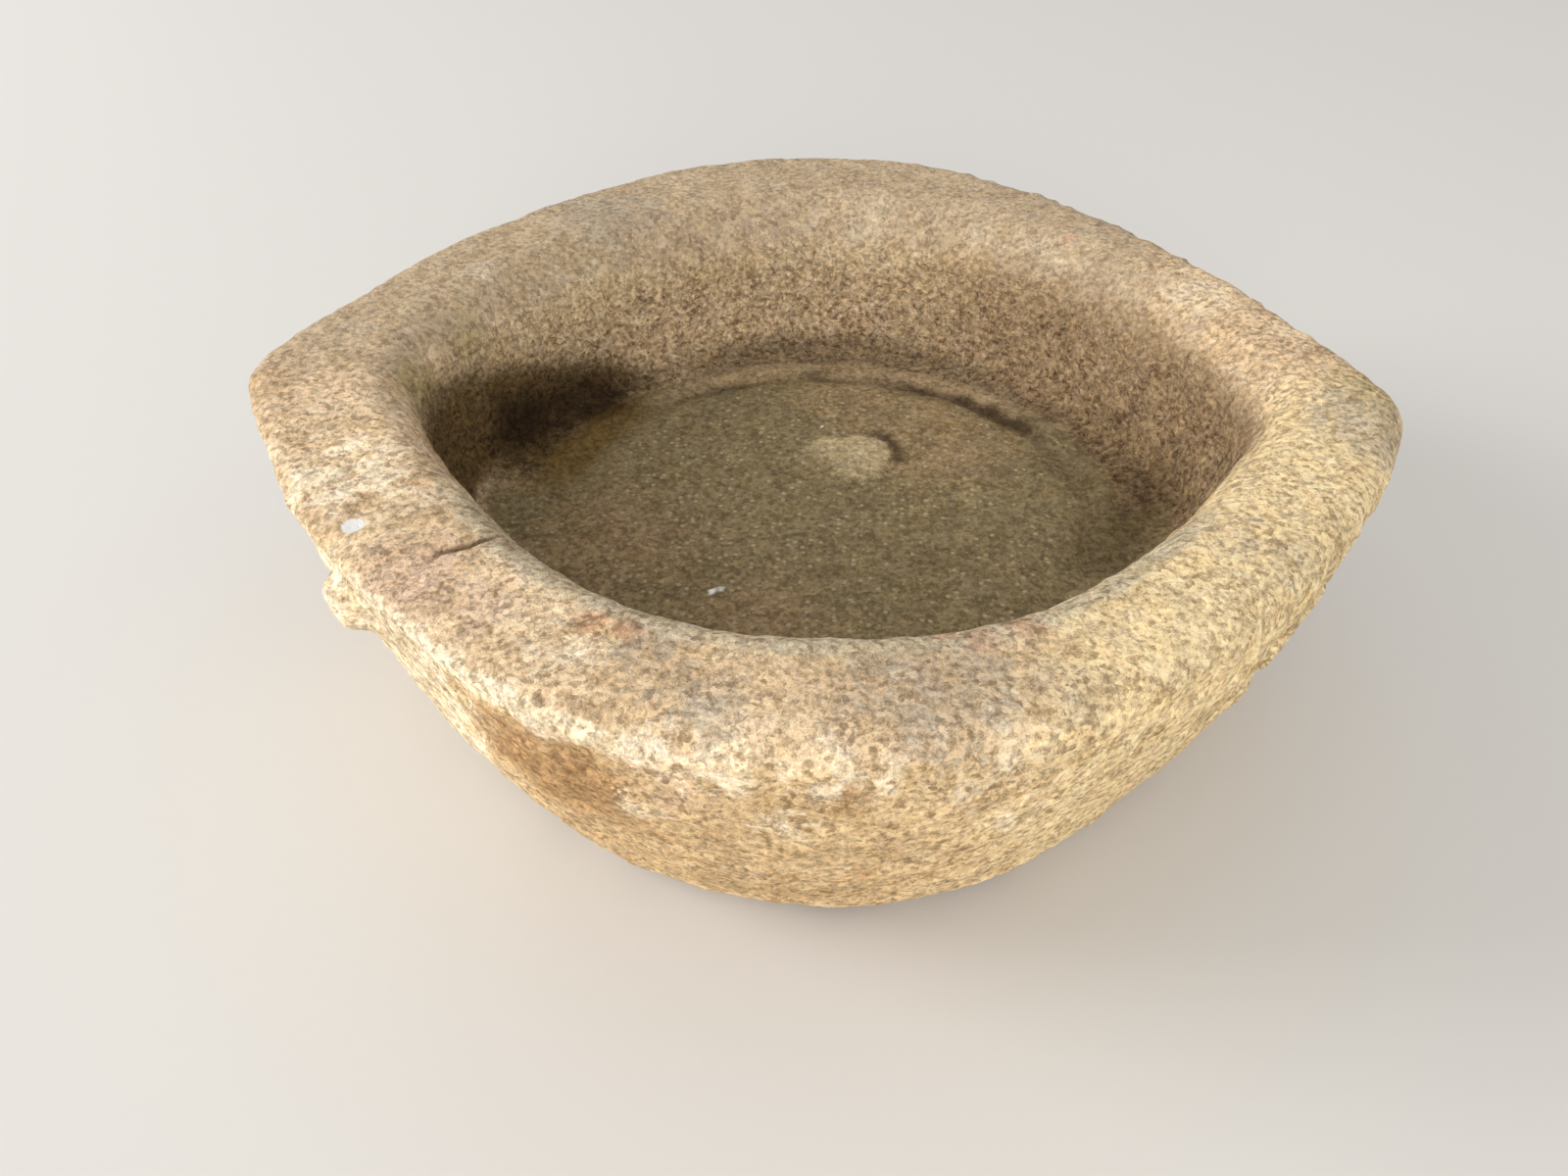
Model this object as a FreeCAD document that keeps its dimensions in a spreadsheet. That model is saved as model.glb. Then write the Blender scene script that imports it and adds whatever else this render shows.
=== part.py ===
"""Hand-hewn stone mortar: one block of stone, rounded square in plan, with a worn bowl in its top.

Frame: millimetres, +Z up. The two long corners of the plan lie on X, the blunt front corner
points to -Y and the back corner to +Y. The origin is under the middle of the block, on the
flat face that it rests on.
"""
import FreeCAD, Part
import math
import os
import Sketcher

DOCUMENT_NAME = "stone_mortar"
NODE = "mortar"

# Driving dimensions in millimetres, unless the comment says otherwise.
DIMENSIONS = {
    # the block
    "block_height": 118.0,
    "half_length": 200.0,
    "front_reach": 172.0,
    "back_reach": 206.0,
    "end_corner_radius": 33.0,
    "front_corner_radius": 162.0,
    "back_corner_radius": 144.0,
    "front_side_radius": 332.0,
    "back_side_radius": 355.0,
    "block_centre_x": -0.8,
    "corner_line_y": -17.0,
    # the taper from the rim down to the foot: ratio of the plans, power of the curve, drift of the foot
    "foot_ratio": 0.783,
    "belly_power": 1.735,
    "foot_drift_x": 6.5,
    # the bowl's mouth, measured at the level of the rim
    "mouth_half_length": 147.0,
    "mouth_front_reach": 131.0,
    "mouth_back_reach": 136.0,
    "mouth_end_radius": 46.0,
    "mouth_front_radius": 118.0,
    "mouth_back_radius": 112.0,
    "mouth_front_side_radius": 420.0,
    "mouth_back_side_radius": 200.0,
    "mouth_centre_x": 4.0,
    "mouth_centre_y": -12.0,
    # the bowl's depth, and the ratio of the plan at its floor to the plan at its mouth
    "bowl_depth": 60.0,
    "floor_ratio": 0.89,
    "bowl_wall_power": 1.5,
    # rounded edges, worked into the plans
    "rim_roll_radius": 13.0,
    "lip_radius": 10.0,
    "foot_edge_radius": 12.0,
    "floor_cove_radius": 10.0,
    # the track that the pestle wore at the foot of the bowl's wall
    "track_radius": 96.0,
    "track_depth": 2.4,
    "track_section_radius": 9.0,
    # the low boss left near the middle of the floor
    "boss_x": 10.0,
    "boss_y": 25.0,
    "boss_radius": 19.0,
    "boss_rise": 3.0,
    # the nodule of hard stone that stands out of the left flank
    "nodule_x": -133.5,
    "nodule_y": -113.0,
    "nodule_z": 91.0,
    "nodule_radius": 9.5,
}

# Where the plans of the block and of the bowl are drawn. Down the wall they stand at fractions of the
# depth below the rim; round an edge they stand at degrees of its quarter turn.
BLOCK_WALL = [0.75, 0.58, 0.41, 0.25]
BOWL_WALL = [0.6, 0.35]
EDGE_TURN = [0.0, 22.5, 45.0, 67.5, 90.0]

OUTLINE_NAMES = [
    "half_length", "front_reach", "back_reach",
    "end_radius", "front_radius", "back_radius",
    "front_side_radius", "back_side_radius",
]

BLOCK_OUTLINE = [
    "half_length", "front_reach", "back_reach",
    "end_corner_radius", "front_corner_radius", "back_corner_radius",
    "front_side_radius", "back_side_radius",
]

BOWL_OUTLINE = [
    "mouth_half_length", "mouth_front_reach", "mouth_back_reach",
    "mouth_end_radius", "mouth_front_radius", "mouth_back_radius",
    "mouth_front_side_radius", "mouth_back_side_radius",
]


def make_sheet(doc):
    """Put the driving dimensions in a spreadsheet, one alias each."""
    sheet = doc.addObject("Spreadsheet::Sheet", "driver")
    for row, (alias, value) in enumerate(DIMENSIONS.items(), start=1):
        sheet.set(f"A{row}", alias)
        sheet.set(f"B{row}", str(value))
        sheet.setAlias(f"B{row}", alias)
    doc.recompute()
    return sheet


def origin_plane(body, role):
    """Return one of the body's own origin planes."""
    for feature in body.Origin.OriginFeatures:
        if feature.Role == role:
            return feature
    raise ValueError(f"{body.Name} has no plane {role}")


def attach_to(sketch, plane, offsets):
    """Lay the sketch on an origin plane, with its own origin moved by the given expressions."""
    sketch.AttachmentSupport = [(plane, "")]
    sketch.MapMode = "FlatFace"
    for axis, expression in offsets.items():
        sketch.setExpression(f"AttachmentOffset.Base.{axis}", expression)


def side_arc_centre(half_length, reach, end_radius, corner_radius, side_radius):
    """Centre of the side arc that touches the end corner and the front or back corner from outside.

    The end corner's centre is on +X and the other corner's centre on +Y.
    """
    end_x = half_length - end_radius
    corner_y = reach - corner_radius
    span = math.hypot(end_x, corner_y)
    to_end = side_radius - end_radius
    to_corner = side_radius - corner_radius
    along = (to_end ** 2 - to_corner ** 2 + span ** 2) / (2 * span)
    across = math.sqrt(to_end ** 2 - along ** 2)
    unit_x = -end_x / span
    unit_y = corner_y / span
    return (end_x + along * unit_x - across * unit_y, along * unit_y + across * unit_x)


def turn_to(start, goal):
    """Angle of the line from one point to another."""
    return math.atan2(goal[1] - start[1], goal[0] - start[0])


def outline_arcs(sizes):
    """The eight tangent arcs of a rounded square seen corner-on, anticlockwise from the +X corner.

    Each arc is its centre, its radius and its two end angles.
    """
    half_length = sizes["half_length"]
    end_radius = sizes["end_radius"]
    right = (half_length - end_radius, 0.0)
    left = (-right[0], 0.0)
    back = (0.0, sizes["back_reach"] - sizes["back_radius"])
    front = (0.0, sizes["front_radius"] - sizes["front_reach"])
    back_side = side_arc_centre(
        half_length, sizes["back_reach"], end_radius, sizes["back_radius"], sizes["back_side_radius"]
    )
    front_side = side_arc_centre(
        half_length, sizes["front_reach"], end_radius, sizes["front_radius"], sizes["front_side_radius"]
    )
    back_right_ends = (turn_to(back_side, right), turn_to(back_side, back))
    front_right_ends = (turn_to(front_side, right), turn_to(front_side, (0.0, -front[1])))
    return [
        (right, end_radius, -front_right_ends[0], back_right_ends[0]),
        (back_side, sizes["back_side_radius"], back_right_ends[0], back_right_ends[1]),
        (back, sizes["back_radius"], back_right_ends[1], math.pi - back_right_ends[1]),
        ((-back_side[0], back_side[1]), sizes["back_side_radius"],
         math.pi - back_right_ends[1], math.pi - back_right_ends[0]),
        (left, end_radius, math.pi - back_right_ends[0], math.pi + front_right_ends[0]),
        ((-front_side[0], -front_side[1]), sizes["front_side_radius"],
         math.pi + front_right_ends[0], math.pi + front_right_ends[1]),
        (front, sizes["front_radius"], math.pi + front_right_ends[1], 2 * math.pi - front_right_ends[1]),
        ((front_side[0], -front_side[1]), sizes["front_side_radius"],
         2 * math.pi - front_right_ends[1], 2 * math.pi - front_right_ends[0]),
    ]


def tapered(bottom_ratio, power, below):
    """Expression for the ratio of a plan that lies some way below the rim, given as a fraction."""
    return f"({bottom_ratio} + (1 - {bottom_ratio}) * (1 - ({below}) ^ {power}))"


def bind(sketch, constraint, name, expression):
    """Add a dimension to the sketch, name it and bind it to the sheet."""
    index = sketch.addConstraint(constraint)
    sketch.renameConstraint(index, name)
    sketch.setExpression(f"Constraints.{name}", expression)


def outline_sketch(body, sheet, name, aliases, ratio, inset, offsets):
    """Draw one plan of the block or of the bowl, fully constrained and bound to the sheet."""
    sketch = body.newObject("Sketcher::SketchObject", name)
    attach_to(sketch, origin_plane(body, "XY_Plane"), offsets)
    sizes = {key: float(sheet.get(alias)) for key, alias in zip(OUTLINE_NAMES, aliases)}
    normal = FreeCAD.Vector(0, 0, 1)
    for centre, radius, start, end in outline_arcs(sizes):
        circle = Part.Circle(FreeCAD.Vector(centre[0], centre[1], 0), normal, radius)
        sketch.addGeometry(Part.ArcOfCircle(circle, start, end))
    right, back_right, back, back_left, left, front_left, front, front_right = range(8)
    for arc in range(8):
        sketch.addConstraint(Sketcher.Constraint("Tangent", arc, 2, (arc + 1) % 8, 1))
    for arc, axis in ((right, -1), (left, -1), (back, -2), (front, -2)):
        sketch.addConstraint(Sketcher.Constraint("PointOnObject", arc, 3, axis))
    for first, second in ((right, left), (back_right, back_left), (front_right, front_left)):
        sketch.addConstraint(Sketcher.Constraint("Equal", first, second))
    text = {key: f"driver.{alias} * {ratio} - {inset}" for key, alias in zip(OUTLINE_NAMES, aliases)}
    radii = (
        (right, "end_radius"), (back, "back_radius"), (front, "front_radius"),
        (back_right, "back_side_radius"), (front_right, "front_side_radius"),
    )
    for arc, key in radii:
        bind(sketch, Sketcher.Constraint("Radius", arc, sizes[key]), key, text[key])
    end_x = sizes["half_length"] - sizes["end_radius"]
    end_text = f"{text['half_length']} - ({text['end_radius']})"
    bind(sketch, Sketcher.Constraint("DistanceX", -1, 1, right, 3, end_x), "right_centre", end_text)
    bind(sketch, Sketcher.Constraint("DistanceX", left, 3, -1, 1, end_x), "left_centre", end_text)
    back_y = sizes["back_reach"] - sizes["back_radius"]
    back_text = f"{text['back_reach']} - ({text['back_radius']})"
    bind(sketch, Sketcher.Constraint("DistanceY", -1, 1, back, 3, back_y), "back_centre", back_text)
    front_y = sizes["front_reach"] - sizes["front_radius"]
    front_text = f"{text['front_reach']} - ({text['front_radius']})"
    bind(sketch, Sketcher.Constraint("DistanceY", front, 3, -1, 1, front_y), "front_centre", front_text)
    return sketch


def lofted(body, kind, name, sketches):
    """Loft a feature straight from each plan to the next, from the bottom up."""
    loft = body.newObject(kind, name)
    loft.Profile = sketches[0]
    loft.Sections = sketches[1:]
    loft.Ruled = True
    for sketch in sketches:
        sketch.Visibility = False
    body.Document.recompute()
    return loft


def plan_places(depth, wall, bottom_radius, top_radius, top_side):
    """Depth below the rim and inset of each plan, from the bottom up, as expressions.

    The inset adds the rounded edges to the taper: at the bottom the wall turns in to the flat, at
    the top it turns in (top_side 1) or out (top_side -1) to the rim.
    """
    places = []
    for degrees in EDGE_TURN:
        angle = math.radians(degrees)
        rise = f"{bottom_radius} * {1.0 - math.cos(angle):.4f}"
        places.append((f"({depth} - {rise})", f"{bottom_radius} * {1.0 - math.sin(angle):.4f}"))
    for fraction in wall:
        places.append((f"({depth} * {fraction})", "0"))
    for degrees in EDGE_TURN:
        angle = math.radians(degrees)
        drop = f"({top_radius} * {1.0 - math.sin(angle):.4f})"
        places.append((drop, f"{top_radius} * {top_side * (1.0 - math.cos(angle)):.4f}"))
    return places


def make_block(body, sheet):
    """The solid block: a rolled rim, a wall that curves in below it, and a softened foot."""
    places = plan_places(
        "driver.block_height", BLOCK_WALL, "driver.foot_edge_radius", "driver.rim_roll_radius", 1
    )
    sketches = []
    for index, (below, inset) in enumerate(places):
        share = f"{below} / driver.block_height"
        ratio = tapered("driver.foot_ratio", "driver.belly_power", share)
        offsets = {
            "x": f"driver.block_centre_x + driver.foot_drift_x * {share}",
            "y": "driver.corner_line_y",
            "z": f"driver.block_height - {below}",
        }
        name = f"block_plan_{index}"
        sketches.append(outline_sketch(body, sheet, name, BLOCK_OUTLINE, ratio, inset, offsets))
    return lofted(body, "PartDesign::AdditiveLoft", "block", sketches)


def make_bowl(body, sheet):
    """The bowl: a soft lip, a steep wall, and a cove where the wall meets the floor."""
    places = plan_places(
        "driver.bowl_depth", BOWL_WALL, "driver.floor_cove_radius", "driver.lip_radius", -1
    )
    sketches = []
    for index, (below, inset) in enumerate(places):
        ratio = tapered("driver.floor_ratio", "driver.bowl_wall_power", f"{below} / driver.bowl_depth")
        offsets = {
            "x": "driver.mouth_centre_x",
            "y": "driver.mouth_centre_y",
            "z": f"driver.block_height - {below}",
        }
        name = f"bowl_plan_{index}"
        sketches.append(outline_sketch(body, sheet, name, BOWL_OUTLINE, ratio, inset, offsets))
    return lofted(body, "PartDesign::SubtractiveLoft", "bowl", sketches)


def make_track(body, sheet):
    """The shallow ring that the pestle wore into the floor, turned about the bowl's own axis."""
    sketch = body.newObject("Sketcher::SketchObject", "track_section")
    offsets = {
        "x": "driver.mouth_centre_x",
        "y": "driver.block_height - driver.bowl_depth + driver.track_section_radius - driver.track_depth",
        "z": "-driver.mouth_centre_y",
    }
    attach_to(sketch, origin_plane(body, "XZ_Plane"), offsets)
    centre = FreeCAD.Vector(float(sheet.get("track_radius")), 0, 0)
    radius = float(sheet.get("track_section_radius"))
    sketch.addGeometry(Part.Circle(centre, FreeCAD.Vector(0, 0, 1), radius))
    sketch.addConstraint(Sketcher.Constraint("PointOnObject", 0, 3, -1))
    section = Sketcher.Constraint("Radius", 0, radius)
    bind(sketch, section, "section_radius", "driver.track_section_radius")
    ring = Sketcher.Constraint("DistanceX", -1, 1, 0, 3, centre.x)
    bind(sketch, ring, "ring_radius", "driver.track_radius")
    track = body.newObject("PartDesign::Groove", "track")
    track.Profile = sketch
    track.ReferenceAxis = (sketch, ["V_Axis"])
    track.Angle = 360.0
    sketch.Visibility = False
    body.Document.recompute()
    return track


def make_lump(body, name, radii, position):
    """A rounded lump of the same stone, with its radii and its place bound to the sheet."""
    lump = body.newObject("PartDesign::AdditiveEllipsoid", name)
    lump.AttachmentSupport = [(origin_plane(body, "XY_Plane"), "")]
    lump.MapMode = "FlatFace"
    for property_name, expression in radii.items():
        lump.setExpression(property_name, expression)
    for axis, expression in position.items():
        lump.setExpression(f"AttachmentOffset.Base.{axis}", expression)
    lump.Angle1 = -90.0
    lump.Angle2 = 90.0
    lump.Angle3 = 360.0
    body.Document.recompute()
    return lump


def make_boss(body):
    """The low round boss on the floor, a little behind its middle."""
    radii = {
        "Radius1": "driver.boss_rise * 2",
        "Radius2": "driver.boss_radius",
        "Radius3": "driver.boss_radius",
    }
    position = {
        "x": "driver.boss_x",
        "y": "driver.boss_y",
        "z": "driver.block_height - driver.bowl_depth - driver.boss_rise",
    }
    return make_lump(body, "boss", radii, position)


def make_nodule(body):
    """The nodule on the left flank, more than half of it sunk in the stone."""
    radii = {
        "Radius1": "driver.nodule_radius",
        "Radius2": "driver.nodule_radius",
        "Radius3": "driver.nodule_radius",
    }
    position = {"x": "driver.nodule_x", "y": "driver.nodule_y", "z": "driver.nodule_z"}
    return make_lump(body, "nodule", radii, position)


def require(condition, message):
    """Stop the build with a plain message."""
    if not condition:
        raise RuntimeError(message)


def make_mortar(doc, sheet):
    """Build the mortar as one body, and test that each feature adds or removes stone."""
    body = doc.addObject("PartDesign::Body", NODE)
    body.Label = NODE
    body.Placement = FreeCAD.Placement()
    block = make_block(body, sheet)
    bowl = make_bowl(body, sheet)
    require(bowl.Shape.Volume < 0.85 * block.Shape.Volume, "the bowl cuts too little")
    track = make_track(body, sheet)
    require(track.Shape.Volume < bowl.Shape.Volume - 1000.0, "the track cuts nothing")
    boss = make_boss(body)
    require(boss.Shape.Volume > track.Shape.Volume + 500.0, "the boss adds nothing")
    nodule = make_nodule(body)
    require(nodule.Shape.Volume > boss.Shape.Volume + 100.0, "the nodule adds nothing")
    body.Tip = nodule
    doc.recompute()
    return body


def check_document(doc):
    """Every object of the document has to be sound."""
    for item in doc.Objects:
        faults = {"Invalid", "Error"} & set(item.State)
        require(not faults, f"{item.Name} is {faults}")


def export(body):
    """Write the body's shape to its STEP file."""
    shape = body.Shape
    require(not shape.isNull() and shape.isValid(), f"{body.Label} is not a valid shape")
    require(len(shape.Solids) == 1, f"{body.Label} is not one solid")
    shape.exportStep(os.path.join("parts", f"{body.Label}.step"))
    box = shape.optimalBoundingBox(False)
    print(f"{body.Label}: x {box.XMin:.2f} to {box.XMax:.2f}, y {box.YMin:.2f} to {box.YMax:.2f}, "
          f"z {box.ZMin:.2f} to {box.ZMax:.2f}, volume {shape.Volume / 1000:.0f} cm3")


def main():
    """Make the document, build the mortar and write its file."""
    os.makedirs("parts", exist_ok=True)
    doc = FreeCAD.newDocument(DOCUMENT_NAME)
    sheet = make_sheet(doc)
    body = make_mortar(doc, sheet)
    check_document(doc)
    export(body)


main()
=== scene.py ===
"""Looks of an old hand-hewn stone mortar: one block of sandstone with a worn bowl in its top.

The sizes below are millimetres in the part's own frame: +Z up, the two long corners of the block on
X, its blunt front corner towards -Y, the origin on the ground under its middle. The mesh is made in
metres.
"""
from __future__ import annotations

import logging
import math
from collections.abc import Iterator
from dataclasses import dataclass
from enum import Enum

import bmesh
import bpy
import numpy as np
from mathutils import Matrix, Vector, noise

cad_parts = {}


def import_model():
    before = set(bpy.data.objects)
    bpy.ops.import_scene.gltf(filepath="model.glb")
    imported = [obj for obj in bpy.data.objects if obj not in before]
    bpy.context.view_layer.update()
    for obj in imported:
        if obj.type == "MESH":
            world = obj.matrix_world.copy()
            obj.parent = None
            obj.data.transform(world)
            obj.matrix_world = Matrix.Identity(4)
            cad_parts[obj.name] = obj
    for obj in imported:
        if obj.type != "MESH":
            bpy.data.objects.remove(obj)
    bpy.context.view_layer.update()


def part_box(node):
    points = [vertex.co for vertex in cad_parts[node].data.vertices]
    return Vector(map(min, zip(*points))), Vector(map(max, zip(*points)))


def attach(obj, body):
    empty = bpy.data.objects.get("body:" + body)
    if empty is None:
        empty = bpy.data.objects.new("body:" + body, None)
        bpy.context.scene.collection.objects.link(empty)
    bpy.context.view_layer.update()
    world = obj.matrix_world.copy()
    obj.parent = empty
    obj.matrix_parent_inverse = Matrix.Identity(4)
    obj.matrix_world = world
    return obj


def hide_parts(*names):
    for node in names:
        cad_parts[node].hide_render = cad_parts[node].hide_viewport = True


LOG = logging.getLogger("stone_mortar")
MM = 0.001
NODE = "mortar"
BODY = "root"
# how the strength and the width of noise change from one layer to the next finer one
LAYER_FALL = 0.9
LAYER_STEP = 2.1

Array = np.ndarray
Colour = tuple[float, float, float, float]
Place = tuple[float, float, float]

# middle of the lump of harder stone in the left flank
NODULE: Place = (-129.5, -118.0, 97.5)


class Mask(Enum):
    """The maps that the patina and the painted shade and light leave on the stone for its finish to read."""

    HOLLOW = "hollow"
    WALL = "wall"
    RUSSET = "russet"
    FLOOR = "floor"
    BAND = "band"
    LIP = "lip"
    # paler floor tone, with a painted pool of light at the front left
    LOAM_AND_LIGHT = "loam_and_light"
    # painted shade in the groove beside the pestle's track, the painted shadow of the boss, and painted shade
    # at the foot of the back wall
    TRACK_SHADE = "track"
    BOSS = "boss"
    # soot on the left of the bowl, together with painted shade: the shadow of the left rim
    SOOT_AND_SHADE = "soot_and_shade"
    # grime with painted shade in the left corner and along the foot of the wall
    PITCH_AND_SHADE = "pitch_and_shade"
    MOSS = "moss"
    # grey weathering with painted shade over the back of the stone
    BACK_WEATHER_AND_SHADE = "back_weather_and_shade"
    # cream stone, with a painted highlight along the crease of the front-left rim
    CREAM_AND_HIGHLIGHT = "cream_and_highlight"
    # a golden tint on the right, with a painted pool of light on the back-left wall
    GOLD_AND_LIGHT = "gold_and_light"
    OCHRE = "ochre"
    MAUVE = "mauve"
    GREY = "grey"
    RUST = "rust"
    # pale bloom and scuffs, with one painted pool of light on the back-left wall
    BLOOM_AND_LIGHT = "bloom_and_light"
    LIME = "lime"
    # painted shade in the fissure
    CRACK_SHADE = "crack_shade"
    FLANK = "flank"


class Blend(Enum):
    """Ways to lay one colour over another."""

    MIX = "MIX"
    MULTIPLY = "MULTIPLY"


def smooth_step(values: Array, low: float | Array, high: float | Array) -> Array:
    """Rise smoothly from 0 at low to 1 at high.

    Args:
        values: what to map.
        low: where the rise starts.
        high: where it ends; it may lie below low, and then the map falls.

    Returns:
        The mapped values, from 0 to 1.
    """
    share = np.clip((values - low) / (high - low), 0.0, 1.0)
    return share * share * (3.0 - 2.0 * share)


def linear(red: float, green: float, blue: float) -> Colour:
    """Turn a colour written as 0 to 255 per channel into the linear colour a socket wants.

    Args:
        red: red, from 0 to 255.
        green: green, likewise.
        blue: blue, likewise.

    Returns:
        The colour in linear light, opaque.
    """

    def channel(value: float) -> float:
        """Turn one channel."""
        share = value / 255.0
        return share / 12.92 if share <= 0.04045 else ((share + 0.055) / 1.055) ** 2.4

    return (channel(red), channel(green), channel(blue), 1.0)


@dataclass(frozen=True)
class Arc:
    """One arc of an outline: its centre, its radius and its two end angles."""

    x: float
    y: float
    radius: float
    start: float
    end: float


@dataclass(frozen=True)
class Plan:
    """A rounded square seen corner-on, made of eight tangent arcs about its corner line."""

    centre_x: float
    centre_y: float
    half_length: float
    front_reach: float
    back_reach: float
    end_radius: float
    front_radius: float
    back_radius: float
    front_side_radius: float
    back_side_radius: float

    def side_centre(self, reach: float, corner_radius: float, side_radius: float) -> tuple[float, float]:
        """Find the centre of the arc that joins the end corner to the corner ahead of it.

        Args:
            reach: how far the other corner lies from the corner line.
            corner_radius: radius of that corner.
            side_radius: radius of the arc between the two.

        Returns:
            Its x and y, with the end corner on +X and the other corner on +Y.
        """
        end_x = self.half_length - self.end_radius
        corner_y = reach - corner_radius
        span = math.hypot(end_x, corner_y)
        to_end = side_radius - self.end_radius
        to_corner = side_radius - corner_radius
        along = (to_end**2 - to_corner**2 + span**2) / (2.0 * span)
        across = math.sqrt(to_end**2 - along**2)
        unit_x = -end_x / span
        unit_y = corner_y / span
        return (end_x + along * unit_x - across * unit_y, along * unit_y + across * unit_x)

    def arcs(self) -> list[Arc]:
        """Lay out the eight arcs, anticlockwise from the +X corner, about the plan's own centre.

        Returns:
            The arcs, each with its centre, its radius and its two end angles.
        """
        end_x = self.half_length - self.end_radius
        quarters = []
        for reach, corner, side in (
            (self.back_reach, self.back_radius, self.back_side_radius),
            (self.front_reach, self.front_radius, self.front_side_radius),
        ):
            side_x, side_y = self.side_centre(reach, corner, side)
            corner_y = reach - corner
            low = math.atan2(-side_y, end_x - side_x)
            high = math.atan2(corner_y - side_y, -side_x)
            quarters.append((side_x, side_y, side, corner_y, corner, low, high))
        back_x, back_y, back_side, back_corner_y, back_corner, back_low, back_high = quarters[0]
        front_x, front_y, front_side, front_corner_y, front_corner, front_low, front_high = quarters[1]
        turn = math.pi
        return [
            Arc(end_x, 0.0, self.end_radius, -front_low, back_low),
            Arc(back_x, back_y, back_side, back_low, back_high),
            Arc(0.0, back_corner_y, back_corner, back_high, turn - back_high),
            Arc(-back_x, back_y, back_side, turn - back_high, turn - back_low),
            Arc(-end_x, 0.0, self.end_radius, turn - back_low, turn + front_low),
            Arc(-front_x, -front_y, front_side, turn + front_low, turn + front_high),
            Arc(0.0, -front_corner_y, front_corner, turn + front_high, 2.0 * turn - front_high),
            Arc(front_x, -front_y, front_side, 2.0 * turn - front_high, 2.0 * turn - front_low),
        ]

    def walk(self, count: int) -> tuple[Array, Array, Array, Array]:
        """Step evenly round the outline.

        Args:
            count: how many steps.

        Returns:
            For each step the arc centre's x and y, the arc's radius and the angle on it.
        """
        arcs = self.arcs()
        lengths = np.array([arc.radius * (arc.end - arc.start) for arc in arcs])
        ends = np.cumsum(lengths)
        places = (np.arange(count) + 0.5) * ends[-1] / count + lengths[0] / 2.0
        places = places % ends[-1]
        which = np.searchsorted(ends, places)
        begins = ends - lengths
        rows = np.array([(arc.x, arc.y, arc.radius, arc.start, arc.end) for arc in arcs])[which]
        angles = rows[:, 3] + (places - begins[which]) / rows[:, 2]
        return rows[:, 0], rows[:, 1], rows[:, 2], angles

    def ring(self, count: int, ratio: float | Array, inset: float | Array, drift: float = 0.0) -> Array:
        """Place one closed ring of points on a scaled and inset copy of the outline.

        Args:
            count: how many points.
            ratio: scale of the plan, one number or one for each point.
            inset: how far the ring lies inside the scaled plan, likewise.
            drift: how far the ring is moved along X.

        Returns:
            The points' x and y, one row each.
        """
        x, y, radius, angle = self.walk(count)
        reach = radius * ratio - inset
        return np.stack(
            [
                self.centre_x + drift + x * ratio + reach * np.cos(angle),
                self.centre_y + y * ratio + reach * np.sin(angle),
            ],
            axis=1,
        )

    def towards(self, count: int, front: float, left: float, back: float, right: float) -> Array:
        """Blend four values by the direction in which each step of the outline lies.

        Args:
            count: how many steps.
            front: the value towards -Y.
            left: the value towards -X.
            back: the value towards +Y.
            right: the value towards +X.

        Returns:
            One value for each step.
        """
        ring = self.ring(count, 1.0, 0.0)
        x = (ring[:, 0] - self.centre_x) / self.half_length
        y = (ring[:, 1] - self.centre_y) / self.front_reach
        shares = [np.clip(side, 0.0, 1.0) ** 1.5 for side in (-y, -x, y, x)]
        total = front * shares[0] + left * shares[1] + back * shares[2] + right * shares[3]
        return total / sum(shares)

    def depth_inside(self, x: Array, y: Array) -> Array:
        """Measure how far inside the outline points lie; outside it the depth is negative.

        Args:
            x: places along X.
            y: places along Y.

        Returns:
            The depth of each place.
        """
        local_x = x - self.centre_x
        local_y = y - self.centre_y
        depth = np.full(x.shape, np.inf)
        for arc in self.arcs():
            off_x = local_x - arc.x
            off_y = local_y - arc.y
            away = (np.arctan2(off_y, off_x) - arc.start) % (2.0 * math.pi)
            facing = away <= arc.end - arc.start
            depth = np.where(facing, np.minimum(depth, arc.radius - np.hypot(off_x, off_y)), depth)
        return np.where(np.isinf(depth), self.half_length / 2.0, depth)


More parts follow.
